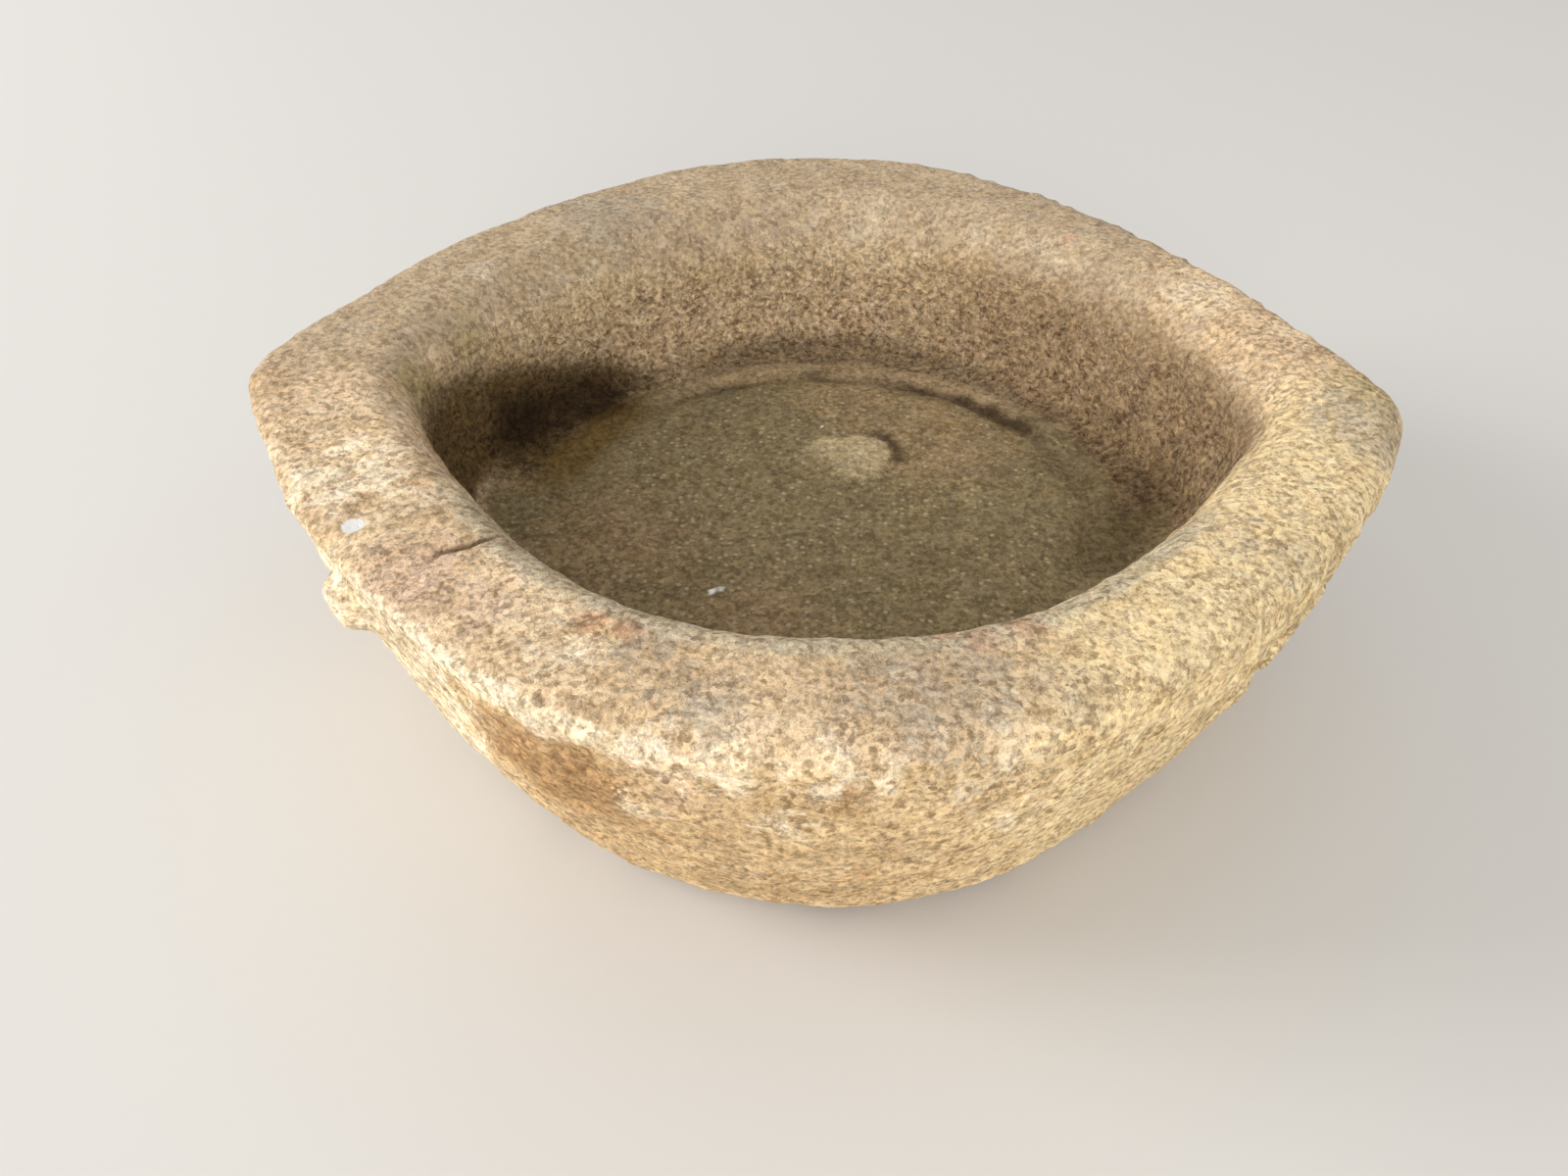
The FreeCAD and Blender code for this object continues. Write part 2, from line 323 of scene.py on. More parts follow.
@dataclass(frozen=True)
class Surface:
    """The stone's points and outward directions, in millimetres."""

    points: Array
    normals: Array

    @staticmethod
    def of(mesh: bpy.types.Mesh) -> Surface:
        """Read a mesh's points and outward directions.

        Args:
            mesh: the mesh to read, in metres.

        Returns:
            Its surface, in millimetres.
        """
        count = len(mesh.vertices)
        points = np.empty(count * 3)
        normals = np.empty(count * 3)
        mesh.vertices.foreach_get("co", points)
        mesh.vertex_normals.foreach_get("vector", normals)
        return Surface(points.reshape(-1, 3) / MM, normals.reshape(-1, 3))

    @property
    def x(self) -> Array:
        """Places along X."""
        return self.points[:, 0]

    @property
    def y(self) -> Array:
        """Places along Y."""
        return self.points[:, 1]

    @property
    def z(self) -> Array:
        """Heights above the ground."""
        return self.points[:, 2]

    @property
    def up(self) -> Array:
        """How far each place faces up: 1 for level, 0 for upright, negative for overhanging."""
        return self.normals[:, 2]

    def noise(self, size: float, octaves: int, seed: int, stretch: Place = (1.0, 1.0, 1.0)) -> Array:
        """Sample smooth noise over the stone.

        Args:
            size: width of its largest lumps.
            octaves: how many finer layers it has.
            seed: which noise of the kind it is.
            stretch: how much longer the lumps are along each axis.

        Returns:
            One value for each point, roughly from -1 to 1.
        """
        places = self.points / (size * np.array(stretch)) + np.array([17.3, 5.1, 9.7]) * seed
        return np.array([noise.fractal(Vector(place), LAYER_FALL, LAYER_STEP, octaves) for place in places])

    def pits(self, size: float, seed: int, where: Array, stretch: Place = (1.0, 1.0, 1.0)) -> Array:
        """Sample pecked pits.

        Args:
            size: distance from pit to pit.
            seed: which scatter of the kind it is.
            where: strength of the pits; where it is 0 they aren't worked out.
            stretch: how much longer the pits are along each axis.

        Returns:
            One value for each point: the strength in the middle of a pit, 0 between the pits.
        """
        depth = np.zeros(len(self.points))
        chosen = np.flatnonzero(where > 0.01)
        places = self.points[chosen] / (size * np.array(stretch)) + np.array([3.7, 11.9, 6.1]) * seed
        near = np.array([noise.voronoi(Vector(place))[0][0] for place in places])
        depth[chosen] = (1.0 - smooth_step(near, 0.0, 0.6)) * where[chosen]
        return depth


@dataclass(frozen=True)
class Spot:
    """A round mark on the stone: its middle, its radius and its strength."""

    x: float
    y: float
    z: float
    radius: float
    strength: float = 1.0

    def on(self, surface: Surface) -> Array:
        """Fade from the full strength in the middle to 0 at the radius."""
        away = np.linalg.norm(surface.points - np.array([self.x, self.y, self.z]), axis=1)
        return self.strength * (1.0 - smooth_step(away, 0.0, self.radius))


@dataclass(frozen=True)
class Route:
    """A line across the stone through a few places, with a half width."""

    places: tuple[Place, ...]
    half_width: float

    def away(self, surface: Surface) -> Array:
        """Distance of every point from the line.

        Args:
            surface: the stone's points.

        Returns:
            One distance for each point.
        """
        nearest = np.full(len(surface.points), np.inf)
        for start, end in zip(self.places, self.places[1:]):
            base = np.array(start)
            along = np.array(end) - base
            share = np.clip((surface.points - base) @ along / (along @ along), 0.0, 1.0)
            off = surface.points - base - share[:, None] * along
            nearest = np.minimum(nearest, np.linalg.norm(off, axis=1))
        return nearest

    def on(self, surface: Surface) -> Array:
        """Fade from 1 on the line to 0 at the half width."""
        return 1.0 - smooth_step(self.away(surface), 0.0, self.half_width)


def gathered(surface: Surface, marks: tuple[Spot | Route, ...]) -> Array:
    """Gather several marks into one map, each at its full strength.

    Args:
        surface: the stone's points.
        marks: the marks to gather.

    Returns:
        The strongest mark at each point.
    """
    total = np.zeros(len(surface.points))
    for mark in marks:
        total = np.maximum(total, mark.on(surface))
    return total


@dataclass(frozen=True)
class Shape:
    """The two plans of the mortar and its levels, shared by all that works the stone."""

    height: float = 118.0
    bowl_depth: float = 60.0
    block: Plan = Plan(-0.8, -17.0, 200.0, 172.0, 206.0, 33.0, 162.0, 144.0, 332.0, 355.0)
    mouth: Plan = Plan(4.0, -12.0, 147.0, 131.0, 136.0, 46.0, 118.0, 112.0, 420.0, 200.0)
    track_x: float = 100.0
    track_y: float = 92.0
    boss_lobes: tuple[Spot, ...] = (
        Spot(17.0, 24.0, 58.0, 21.0), Spot(15.0, 15.0, 58.0, 21.0), Spot(3.0, 24.0, 58.0, 22.0, 0.85),
    )

    @property
    def floor_height(self) -> float:
        """Height of the bowl's floor."""
        return self.height - self.bowl_depth

    def boss(self, surface: Surface) -> Array:
        """The boss that the pestle left in the middle of the floor: 1 on top, 0 past its ragged foot.

        Args:
            surface: the stone's points.

        Returns:
            One share for each point.
        """
        lobes = gathered(surface, self.boss_lobes) + 0.05 * surface.noise(7.0, 3, 21)
        crisp = smooth_step(surface.x + surface.y, 20.0, 50.0)
        return smooth_step(lobes, 0.30 - 0.12 * (1.0 - crisp), 0.50 + 0.35 * (1.0 - crisp))

    def track_reach(self, surface: Surface) -> Array:
        """Distance of every point from the middle of the pestle's oval track, as a share of it.

        Args:
            surface: the stone's points.

        Returns:
            One share for each point, 1 on the track.
        """
        off_x = surface.x - self.mouth.centre_x
        off_y = surface.y - self.mouth.centre_y
        return np.hypot(off_x / self.track_x, off_y / self.track_y)


@dataclass(frozen=True)
class Zones:
    """Where each point of the stone lies: shares from 0 to 1, and its depths inside the block and mouth."""

    edge: Array
    mouth: Array
    hollow: Array
    wall: Array
    floor: Array
    flank: Array

    @staticmethod
    def of(surface: Surface, shape: Shape) -> Zones:
        """Find the zones of a surface.

        Args:
            surface: the stone's points.
            shape: the plans it was made from.

        Returns:
            The zones.
        """
        inside = shape.mouth.depth_inside(surface.x, surface.y)
        above = smooth_step(surface.z, 30.0, 50.0)
        hollow = smooth_step(inside, -6.0, 8.0) * above
        off_floor = smooth_step(surface.z, shape.floor_height + 1.0, shape.floor_height + 5.0)
        outside = 1.0 - smooth_step(inside, -20.0, -8.0)
        return Zones(
            edge=shape.block.depth_inside(surface.x, surface.y),
            mouth=inside,
            hollow=hollow,
            wall=hollow * off_floor * smooth_step(surface.z, shape.height - 1.0, shape.height - 12.0),
            floor=hollow * (1.0 - off_floor),
            flank=outside * (1.0 - smooth_step(surface.up, 0.2, 0.7)),
        )


@dataclass
class RoughStone:
    """The mortar roughed out as rings, foot to rim and down into the bowl, then closed in one skin."""

    shape: Shape
    foot_ratio: float = 0.783
    belly_power: float = 1.735
    foot_drift: float = 6.5
    floor_ratio: float = 0.89
    bowl_wall_power: float = 1.5
    foot_edge: float = 12.0
    cove: float = 10.0
    skin: float = 1.0
    ring_count: int = 320
    voxel: float = 2.14
    nodule_radius: float = 12.5
    nodule_scale: Place = (0.95, 0.85, 0.95)

    def block_rings(self) -> Iterator[Array]:
        """Give the rings of the outer wall, from the foot up over the rolled rim.

        Returns:
            The rings one after another, each a row of x, y and height for every point.
        """
        count = self.ring_count
        height = self.shape.height
        roll = self.shape.block.towards(count, front=12.0, left=11.0, back=9.0, right=12.0)
        level = np.ones(count)
        steps = []
        for turn in np.linspace(0.0, math.pi / 2.0, 5):
            below = height - self.foot_edge * (1.0 - math.cos(turn))
            steps.append((below * level, self.foot_edge * (1.0 - math.sin(turn)) * level))
        for share in np.linspace(0.82, 0.22, 7):
            steps.append((height * share * level, 0.0 * level))
        for turn in np.linspace(0.0, math.pi / 2.0, 7):
            steps.append((roll * (1.0 - math.sin(turn)), roll * (1.0 - math.cos(turn))))
        for below, inset in steps:
            share = below / height
            ratio = self.foot_ratio + (1.0 - self.foot_ratio) * (1.0 - share**self.belly_power)
            ring = self.shape.block.ring(count, ratio, inset + self.skin, self.foot_drift * share)
            yield np.column_stack([ring, height - below])

    def bowl_rings(self) -> Iterator[Array]:
        """Give the rings of the bowl from its lip, crisp in front and worn wide at the back, to its floor.

        Returns:
            The rings one after another, each a row of x, y and height for every point.
        """
        count = self.ring_count
        depth = self.shape.bowl_depth
        lip = self.shape.mouth.towards(count, front=9.0, left=17.0, back=27.0, right=20.0)
        level = np.ones(count)
        steps = []
        for turn in np.linspace(math.pi / 2.0, 0.0, 9):
            steps.append((lip * (1.0 - math.sin(turn)), -lip * (1.0 - math.cos(turn))))
        for share in (0.2, 0.4, 0.6, 0.8):
            steps.append((lip + (depth - self.cove - lip) * share, 0.0 * level))
        for turn in np.linspace(math.pi / 2.0, 0.0, 6):
            below = depth - self.cove * (1.0 - math.cos(turn))
            steps.append((below * level, self.cove * (1.0 - math.sin(turn)) * level))
        for below, inset in steps:
            share = below / depth
            ratio = self.floor_ratio + (1.0 - self.floor_ratio) * (1.0 - share**self.bowl_wall_power)
            yield np.column_stack([self.shape.mouth.ring(count, ratio, inset), self.shape.height - below])

    def rough_out(self) -> bpy.types.Mesh:
        """Draw the rings out into one closed shell.

        Returns:
            The shell as a mesh, with the nodule sunk in it.
        """
        shell = bmesh.new()
        edges: list[bmesh.types.BMEdge] = []
        foot_edges: list[bmesh.types.BMEdge] = []
        for ring in list(self.block_rings()) + list(self.bowl_rings()):
            if not edges:
                radius = self.shape.block.half_length * MM
                circle = bmesh.ops.create_circle(
                    shell, cap_ends=False, segments=self.ring_count, radius=radius
                )
                fresh = circle["verts"]
                edges = list(shell.edges)
                foot_edges = edges
            else:
                grown = bmesh.ops.extrude_edge_only(shell, edges=edges)["geom"]
                fresh = [item for item in grown if isinstance(item, bmesh.types.BMVert)]
                new = set(fresh)
                edges = [
                    item for item in grown
                    if isinstance(item, bmesh.types.BMEdge) and item.verts[0] in new and item.verts[1] in new
                ]
            self.settle(fresh, ring)
        for rim in (foot_edges, edges):
            bmesh.ops.contextual_create(shell, geom=rim)
        bmesh.ops.recalc_face_normals(shell, faces=shell.faces)
        self.add_nodule(shell)
        mesh = bpy.data.meshes.new("roughed_out")
        shell.to_mesh(mesh)
        shell.free()
        return mesh

    def settle(self, verts: list[bmesh.types.BMVert], ring: Array) -> None:
        """Move a ring of vertices onto its places, each to the one that lies at its own turn.

        Args:
            verts: the ring of vertices to move.
            ring: the places they go to.
        """
        middle_x, middle_y = self.shape.block.centre_x, self.shape.block.centre_y

        def turn(x: float, y: float) -> float:
            """Give the direction of a place from the middle of the block."""
            return math.atan2(y - middle_y, x - middle_x) % (2.0 * math.pi)

        by_turn = sorted(verts, key=lambda vert: turn(vert.co.x / MM, vert.co.y / MM))
        places = sorted(ring.tolist(), key=lambda place: turn(place[0], place[1]))
        for vert, place in zip(by_turn, places):
            vert.co = Vector(place) * MM

    def add_nodule(self, shell: bmesh.types.BMesh) -> None:
        """Sink a lump of harder stone in the left flank.

        Args:
            shell: the shell that the lump is added to.
        """
        lump = bmesh.ops.create_icosphere(shell, subdivisions=3, radius=self.nodule_radius * MM)["verts"]
        bmesh.ops.scale(shell, vec=Vector(self.nodule_scale), verts=lump)
        bmesh.ops.translate(shell, vec=Vector(NODULE) * MM, verts=lump)

    def build(self) -> bpy.types.Mesh:
        """Close the rough shell into one even skin of small faces.

        Returns:
            The skin as a mesh.
        """
        mesh = self.rough_out()
        rough = bpy.data.objects.new("roughed_out", mesh)
        bpy.context.scene.collection.objects.link(rough)
        remesh = rough.modifiers.new("skin", "REMESH")
        remesh.mode = "VOXEL"
        remesh.voxel_size = self.voxel * MM
        remesh.use_smooth_shade = True
        skin = bpy.data.meshes.new_from_object(rough.evaluated_get(bpy.context.evaluated_depsgraph_get()))
        skin.name = NODE
        bpy.data.objects.remove(rough)
        bpy.data.meshes.remove(mesh)
        return skin


FISSURE = Route(
    (
        (-83.0, -99.0, 112.0), (-90.0, -111.0, 118.0), (-95.0, -115.0, 118.0), (-102.0, -118.0, 118.0),
        (-103.0, -122.0, 118.0), (-109.0, -131.0, 117.0), (-113.0, -138.0, 112.0),
    ),
    2.4,
)
CORNER_SEAM = Route(((146.0, -49.0, 118.0), (171.0, -45.0, 118.0), (190.0, -38.0, 114.0)), 2.2)
RIM_CREASE = Route(
    (
        (-158.0, -93.0, 112.0), (-133.0, -118.0, 113.0), (-115.0, -136.0, 113.0), (-81.0, -163.0, 113.0),
        (-59.0, -176.0, 112.0), (-24.0, -185.0, 112.0), (14.0, -187.0, 112.0), (42.0, -181.0, 114.0),
    ),
    9.0,
)
LIME_CHIP = Spot(-130.0, -108.0, 117.0, 4.5)


@dataclass
class Carving:
    """The unevenness of the hewn stone and the marks of tools, wear and time."""

    shape: Shape
    track_half_width: float = 9.0
    track_depth: float = 1.2
    crease_depth: float = 1.0
    boss_rise: float = 1.3
    scallop_length: float = 15.0
    scallop_depth: float = 1.4
    margin: float = 0.05
    refined_reach: float = 6.0
    slim: tuple[Spot, ...] = (
        Spot(-168.0, -72.0, 80.0, 70.0, 6.5),
        Spot(-130.0, -120.0, 98.0, 62.0, 4.0),
        Spot(-100.0, -145.0, 100.0, 50.0, 3.0),
        Spot(160.0, -78.0, 62.0, 75.0, 2.6),
        Spot(95.0, -135.0, 40.0, 75.0, 2.0),
    )
    nodule_guard: Spot = Spot(*NODULE, 24.0)

    def refine(self, mesh: bpy.types.Mesh) -> None:
        """Give the stone finer faces round the fissure.

        Args:
            mesh: the skin of the stone, changed in place.
        """
        near = FISSURE.away(Surface.of(mesh)) < self.refined_reach
        shell = bmesh.new()
        shell.from_mesh(mesh)
        shell.verts.ensure_lookup_table()
        edges = [edge for edge in shell.edges if near[edge.verts[0].index] and near[edge.verts[1].index]]
        bmesh.ops.subdivide_edges(shell, edges=edges, cuts=1, use_grid_fill=True)
        shell.to_mesh(mesh)
        shell.free()

    def hewing(self, surface: Surface, zones: Zones) -> Array:
        """Broad and fine unevenness all over, rougher on the flanks, finest on the floor.

        Args:
            surface: the stone's points.
            zones: where each point lies.

        Returns:
            How far each point is raised, in millimetres.
        """
        rough = 0.3 + 0.7 * (1.0 - zones.floor)
        lift = 0.9 * surface.noise(80.0, 2, 1) * rough
        lift += 0.6 * surface.noise(24.0, 2, 2) * rough
        lift += 0.42 * surface.noise(8.0, 2, 3) * rough
        lift += zones.flank * 0.8 * surface.noise(10.0, 3, 5, (1.6, 1.6, 0.9))
        lift += zones.floor * 0.4 * surface.noise(13.0, 2, 6)
        return lift

    def pecking(self, surface: Surface, zones: Zones) -> Array:
        """Pits of the pick on the bowl's wall, and fewer on the rim.

        Args:
            surface: the stone's points.
            zones: where each point lies.

        Returns:
            How far each point is raised, in millimetres.
        """
        wall = 1.3 * surface.pits(5.6, 4, zones.wall, (0.8, 1.0, 1.3))
        rim = 0.6 * surface.pits(9.0, 7, 1.0 - zones.hollow)
        flank = 0.8 * surface.pits(8.0, 8, zones.flank, (1.5, 1.5, 0.9))
        return -wall - rim - flank

    def scallops(self, surface: Surface, zones: Zones) -> Array:
        """Bites of the chisel along the outer edge at the back right, and one nick at the back left.

        Args:
            surface: the stone's points.
            zones: where each point lies.

        Returns:
            How far each point is raised, in millimetres.
        """
        turn = np.arctan2(surface.y - self.shape.block.centre_y, surface.x)
        run = turn * 185.0 / self.scallop_length + 0.8 * np.sin(turn * 7.0) + 0.3 * np.sin(turn * 31.0)
        bites = np.abs(np.sin(math.pi * run)) ** 0.8
        along = smooth_step(surface.x, 30.0, 75.0) * smooth_step(surface.y, 5.0, 45.0)
        edge = (1.0 - smooth_step(zones.edge, 6.0, 18.0)) * smooth_step(surface.z, 80.0, 104.0)
        deep = 0.65 + 0.5 * surface.noise(30.0, 1, 12)
        nick = Spot(-136.0, 107.0, 114.0, 9.0).on(surface)
        return -(self.scallop_depth * bites * deep + 0.6) * along * edge - 1.8 * nick

    def worn_floor(self, surface: Surface, zones: Zones) -> Array:
        """The track of the pestle, the crease at its outer side and the boss it left.

        Args:
            surface: the stone's points.
            zones: where each point lies.

        Returns:
            How far each point is raised, in millimetres.
        """
        reach = (self.shape.track_reach(surface) - 1.0) * self.shape.track_y
        low = smooth_step(surface.z, 72.0, 64.0) * zones.hollow
        track = (1.0 - smooth_step(np.abs(reach), 0.0, self.track_half_width)) * low
        back = smooth_step(surface.y, -20.0, 50.0)
        wander = 1.5 + 3.5 * surface.noise(26.0, 3, 14)
        broken = smooth_step(surface.noise(22.0, 2, 15), -0.35, 0.25)
        crease = (1.0 - smooth_step(np.abs(reach - wander), 0.0, 6.5)) * low * back * (0.35 + 0.65 * broken)
        crease *= 0.3 + 0.7 * smooth_step(surface.x, -60.0, 0.0)
        boss = self.shape.boss(surface) * zones.floor
        hollowed = (1.0 - smooth_step(reach, 20.0 - self.shape.track_y, 0.0)) * zones.floor
        dish = 1.2 * zones.floor - 1.2 * hollowed
        return self.boss_rise * boss - self.track_depth * track - self.crease_depth * crease + dish

    def flakes(self, surface: Surface, zones: Zones) -> Array:
        """Thin plates that stand out of the right flank where the stone has flaked.

        Args:
            surface: the stone's points.
            zones: where each point lies.

        Returns:
            How far each point is raised, in millimetres.
        """
        along = smooth_step(surface.x, 118.0, 145.0) * smooth_step(-surface.y, 25.0, 45.0)
        height = smooth_step(surface.z, 30.0, 45.0) * (1.0 - smooth_step(surface.z, 88.0, 96.0))
        plates = smooth_step(surface.noise(17.0, 2, 9, (1.0, 1.0, 0.45)), 0.0, 0.1)
        lump = Spot(165.0, -80.0, 72.0, 8.0).on(surface)
        return zones.flank * along * height * (2.2 * plates - 1.4) + 2.0 * lump

    def marks(self, surface: Surface) -> Array:
        """The fissure across the left of the rim, the seam at the right corner and a few chips.

        Args:
            surface: the stone's points.

        Returns:
            How far each point is raised, in millimetres.
        """
        fissure = 1.0 - smooth_step(FISSURE.away(surface), 0.2, FISSURE.half_width)
        wide = Spot(-95.5, -115.0, 118.0, 12.0).on(surface)
        lip = Spot(-84.0, -101.0, 115.0, 7.0).on(surface)
        step = Spot(-104.0, -108.0, 118.0, 16.0).on(surface) * smooth_step(FISSURE.away(surface), 0.0, 2.0)
        lift = -(0.7 + 2.4 * wide) * fissure - 1.6 * lip - 0.7 * step
        lift += 0.8 * RIM_CREASE.on(surface) ** 2.0
        return lift - 0.6 * CORNER_SEAM.on(surface) - 1.4 * LIME_CHIP.on(surface)

    def trim(self, surface: Surface, zones: Zones) -> Array:
        """Take the flanks in where the stone is slimmer than its plan.

        Args:
            surface: the stone's points.
            zones: where each point lies.

        Returns:
            How far each point is raised, in millimetres.
        """
        kept = 1.0 - self.nodule_guard.on(surface)
        return -gathered(surface, self.slim) * zones.flank * kept

    def work(self, mesh: bpy.types.Mesh) -> None:
        """Carve the skin, and keep it within the part's box.

        Args:
            mesh: the skin of the stone, changed in place.
        """
        surface = Surface.of(mesh)
        zones = Zones.of(surface, self.shape)
        lift = (
            self.hewing(surface, zones)
            + self.pecking(surface, zones)
            + self.scallops(surface, zones)
            + self.worn_floor(surface, zones)
            + self.flakes(surface, zones)
            + self.marks(surface)
            + self.trim(surface, zones)
        )
        points = surface.points + surface.normals * lift[:, None]
        low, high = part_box(NODE)
        points = np.clip(points, np.array(low) / MM + self.margin, np.array(high) / MM - self.margin)
        mesh.vertices.foreach_set("co", (points * MM).ravel())
        mesh.update()


@dataclass
class Patina:
    """Where the stone is dirty, worn, stained or fresh, and where shade and light are painted on it."""

    shape: Shape
    cream_and_highlight: tuple[Spot | Route, ...] = (
        Spot(-140.0, -84.0, 116.0, 40.0, 0.7), Spot(-57.0, -156.0, 118.0, 34.0, 0.4),
        Spot(22.0, -186.0, 110.0, 24.0, 0.6), Spot(-30.0, -184.0, 109.0, 26.0, 0.55),
        Spot(52.0, -180.0, 104.0, 40.0, 0.4), Spot(2.0, -186.0, 88.0, 26.0, 0.55),
        Spot(-14.0, -187.0, 107.0, 20.0, 0.75), Spot(-127.0, -117.0, 96.0, 26.0, 0.9),
        # the band along the rim crease is cream chips together with a painted highlight where the edge
        # catches the light
        Route(
            (
                (-150.0, -100.0, 108.0), (-115.0, -136.0, 112.0), (-81.0, -163.0, 112.0),
                (-59.0, -176.0, 111.5), (-30.0, -184.0, 110.0),
            ),
            7.0,
        ),
        Spot(8.0, -187.0, 106.0, 24.0, 0.6), Spot(-40.0, -180.0, 84.0, 16.0, 0.6),
        Spot(60.0, -168.0, 78.0, 18.0, 0.6),
        Route(((184.0, -48.0, 96.0), (166.0, -80.0, 72.0), (148.0, -96.0, 44.0)), 13.0),
    )
    # a painted pool of light on the back-left wall of the bowl
    sunny: Spot = Spot(-96.0, 74.0, 102.0, 44.0, 0.8)
    # paler patches of the floor; the one at the front left is a painted pool of light
    loam_and_light: tuple[Spot, ...] = (
        Spot(50.0, 38.0, 58.0, 62.0, 0.95), Spot(15.0, 62.0, 58.0, 50.0, 0.8),
        Spot(-20.0, -80.0, 58.0, 60.0, 0.8), Spot(-72.0, -42.0, 58.0, 62.0, 0.9),
    )
    mauve: tuple[Spot, ...] = (
        Spot(-109.0, -130.0, 118.0, 34.0, 0.85), Spot(-166.0, -40.0, 118.0, 46.0, 0.45),
        Spot(-84.0, -140.0, 118.0, 26.0, 0.6), Spot(-112.0, -140.0, 108.0, 14.0, 1.0),
        Spot(-30.0, -183.0, 98.0, 26.0, 0.6), Spot(-126.0, -52.0, 118.0, 28.0, 0.5),
    )
    ochre: tuple[Spot, ...] = (
        Spot(-62.0, -172.0, 88.0, 48.0, 1.1), Spot(-12.0, -182.0, 70.0, 34.0, 0.4),
        Spot(40.0, -172.0, 50.0, 46.0, 0.35), Spot(14.0, -187.0, 100.0, 18.0, 0.85),
        Spot(48.0, -176.0, 92.0, 20.0, 0.5),
    )
    grey: tuple[Spot, ...] = (
        Spot(36.0, -158.0, 120.0, 54.0, 0.7), Spot(-22.0, -171.0, 118.0, 28.0, 0.6),
        Spot(-96.0, 114.0, 118.0, 44.0, 0.9),
        Spot(131.0, -100.0, 118.0, 34.0, 0.5), Spot(182.0, -34.0, 118.0, 40.0, 0.9),
        Spot(-38.0, -152.0, 118.0, 18.0, 0.6),
        Spot(180.0, -28.0, 118.0, 40.0, 0.6),
        Spot(-108.0, -74.0, 118.0, 26.0, 0.5),
    )
    moss: tuple[Spot, ...] = (
        Spot(-142.0, -12.0, 106.0, 24.0, 0.9), Spot(-128.0, 20.0, 108.0, 24.0, 0.7),
        Spot(188.0, -14.0, 110.0, 36.0, 0.7),
        Spot(150.0, -100.0, 100.0, 40.0, 0.5),
    )
    rust: tuple[Spot, ...] = (
        Spot(-53.0, -145.0, 118.0, 9.0), Spot(-43.0, -147.0, 118.0, 8.0), Spot(38.0, -142.0, 116.0, 9.0),
        Spot(48.0, -144.0, 118.0, 10.0), Spot(60.0, -139.0, 118.0, 10.0), Spot(99.0, 100.0, 118.0, 7.0),
    )
    bloom_and_light: tuple[Spot, ...] = (
        # the first spot is a painted pool of light on the back-left wall of the bowl
        Spot(-97.0, 72.0, 111.0, 40.0, 0.4), Spot(91.0, 93.0, 116.0, 22.0, 0.8),
        Spot(15.0, 124.0, 112.0, 22.0, 0.7), Spot(105.0, 71.0, 107.0, 14.0, 0.7),
        Spot(64.0, 110.0, 115.0, 22.0, 0.6), Spot(-135.0, 54.0, 118.0, 14.0, 0.9),
        Spot(141.0, 51.0, 118.0, 24.0, 0.7),
        Spot(71.0, -165.0, 117.0, 14.0, 0.7), Spot(-60.0, -175.0, 108.0, 14.0, 0.6),
        Spot(-118.0, -100.0, 118.0, 16.0, 0.6),
    )
    lime: tuple[Spot | Route, ...] = (
        Spot(-130.0, -108.0, 117.0, 5.5, 1.7), Spot(-111.0, -118.0, 118.0, 3.4, 0.6),
        Spot(-33.0, -64.0, 58.0, 3.8, 0.8), Spot(-30.0, -62.0, 58.0, 3.6, 0.75),
        Spot(1.5, 42.0, 58.0, 3.0, 0.6),
        Spot(96.0, 88.0, 114.0, 6.0, 0.7), Spot(137.0, 6.0, 96.0, 5.0, 0.9),
    )
    scuffs: tuple[Route, ...] = (
        Route(((-2.0, 45.0, 58.0), (1.0, 42.0, 58.0), (4.0, 37.0, 58.0)), 3.4),
        Route(((-27.0, 40.0, 58.0), (-23.0, 45.0, 58.0), (-18.0, 43.0, 58.0), (-18.0, 38.0, 58.0)), 2.8),
        Route(((-9.0, 46.0, 58.0), (-7.0, 41.0, 58.0)), 2.6),
        Route(((-58.0, -42.0, 58.0), (-52.0, -47.0, 58.0)), 3.0),
        Route(((-80.0, -20.0, 58.0), (-74.0, -24.0, 58.0)), 3.0),
        Route(((40.0, -44.0, 58.0), (46.0, -46.0, 58.0)), 2.8),
    )
    # painted shade with grime: the left corner's foot and the foot of the back-left wall
    pitch_and_shade: Route = Route(
        ((-120.0, 20.0, 68.0), (-111.0, 35.0, 66.0), (-102.0, 46.0, 63.0), (-93.0, 55.0, 61.0)),
        27.0,
    )
    fringe: Route = Route(((-93.0, 55.0, 61.0), (-76.0, 70.0, 61.0), (-54.0, 84.0, 61.0)), 17.0)
    stain: Route = Route(((124.0, 0.0, 60.0), (114.0, -18.0, 58.0), (104.0, -38.0, 58.0)), 26.0)
    # painted shadow that the boss casts on the floor at its right
    crescent: Route = Route(((24.0, 38.0, 58.0), (30.0, 31.0, 58.0), (33.0, 21.0, 58.0)), 6.5)

    def dark_line(self, surface: Surface) -> Array:
        """Height below which the left of the bowl is painted dark: soot from use, and the painted shadow that
        the left rim casts on the wall.
        """
        share = np.clip((-surface.x - 50.0) / 87.0, 0.0, 1.0)
        return self.shape.floor_height + 44.0 * share**1.5

    def darkest(self, surface: Surface) -> Array:
        """How dark the two ends of the bowl are painted: most at the left, fading along the foot of the wall;
        partly grime, partly painted shade in the corner and at the foot of the wall.

        Args:
            surface: the stone's points.

        Returns:
            One share for each point.
        """
        fringe = 0.55 * self.fringe.on(surface) * smooth_step(-surface.x, 50.0, 88.0)
        ends = np.maximum(0.86 * self.pitch_and_shade.on(surface), 0.45 * self.stain.on(surface))
        return np.maximum(ends, fringe)

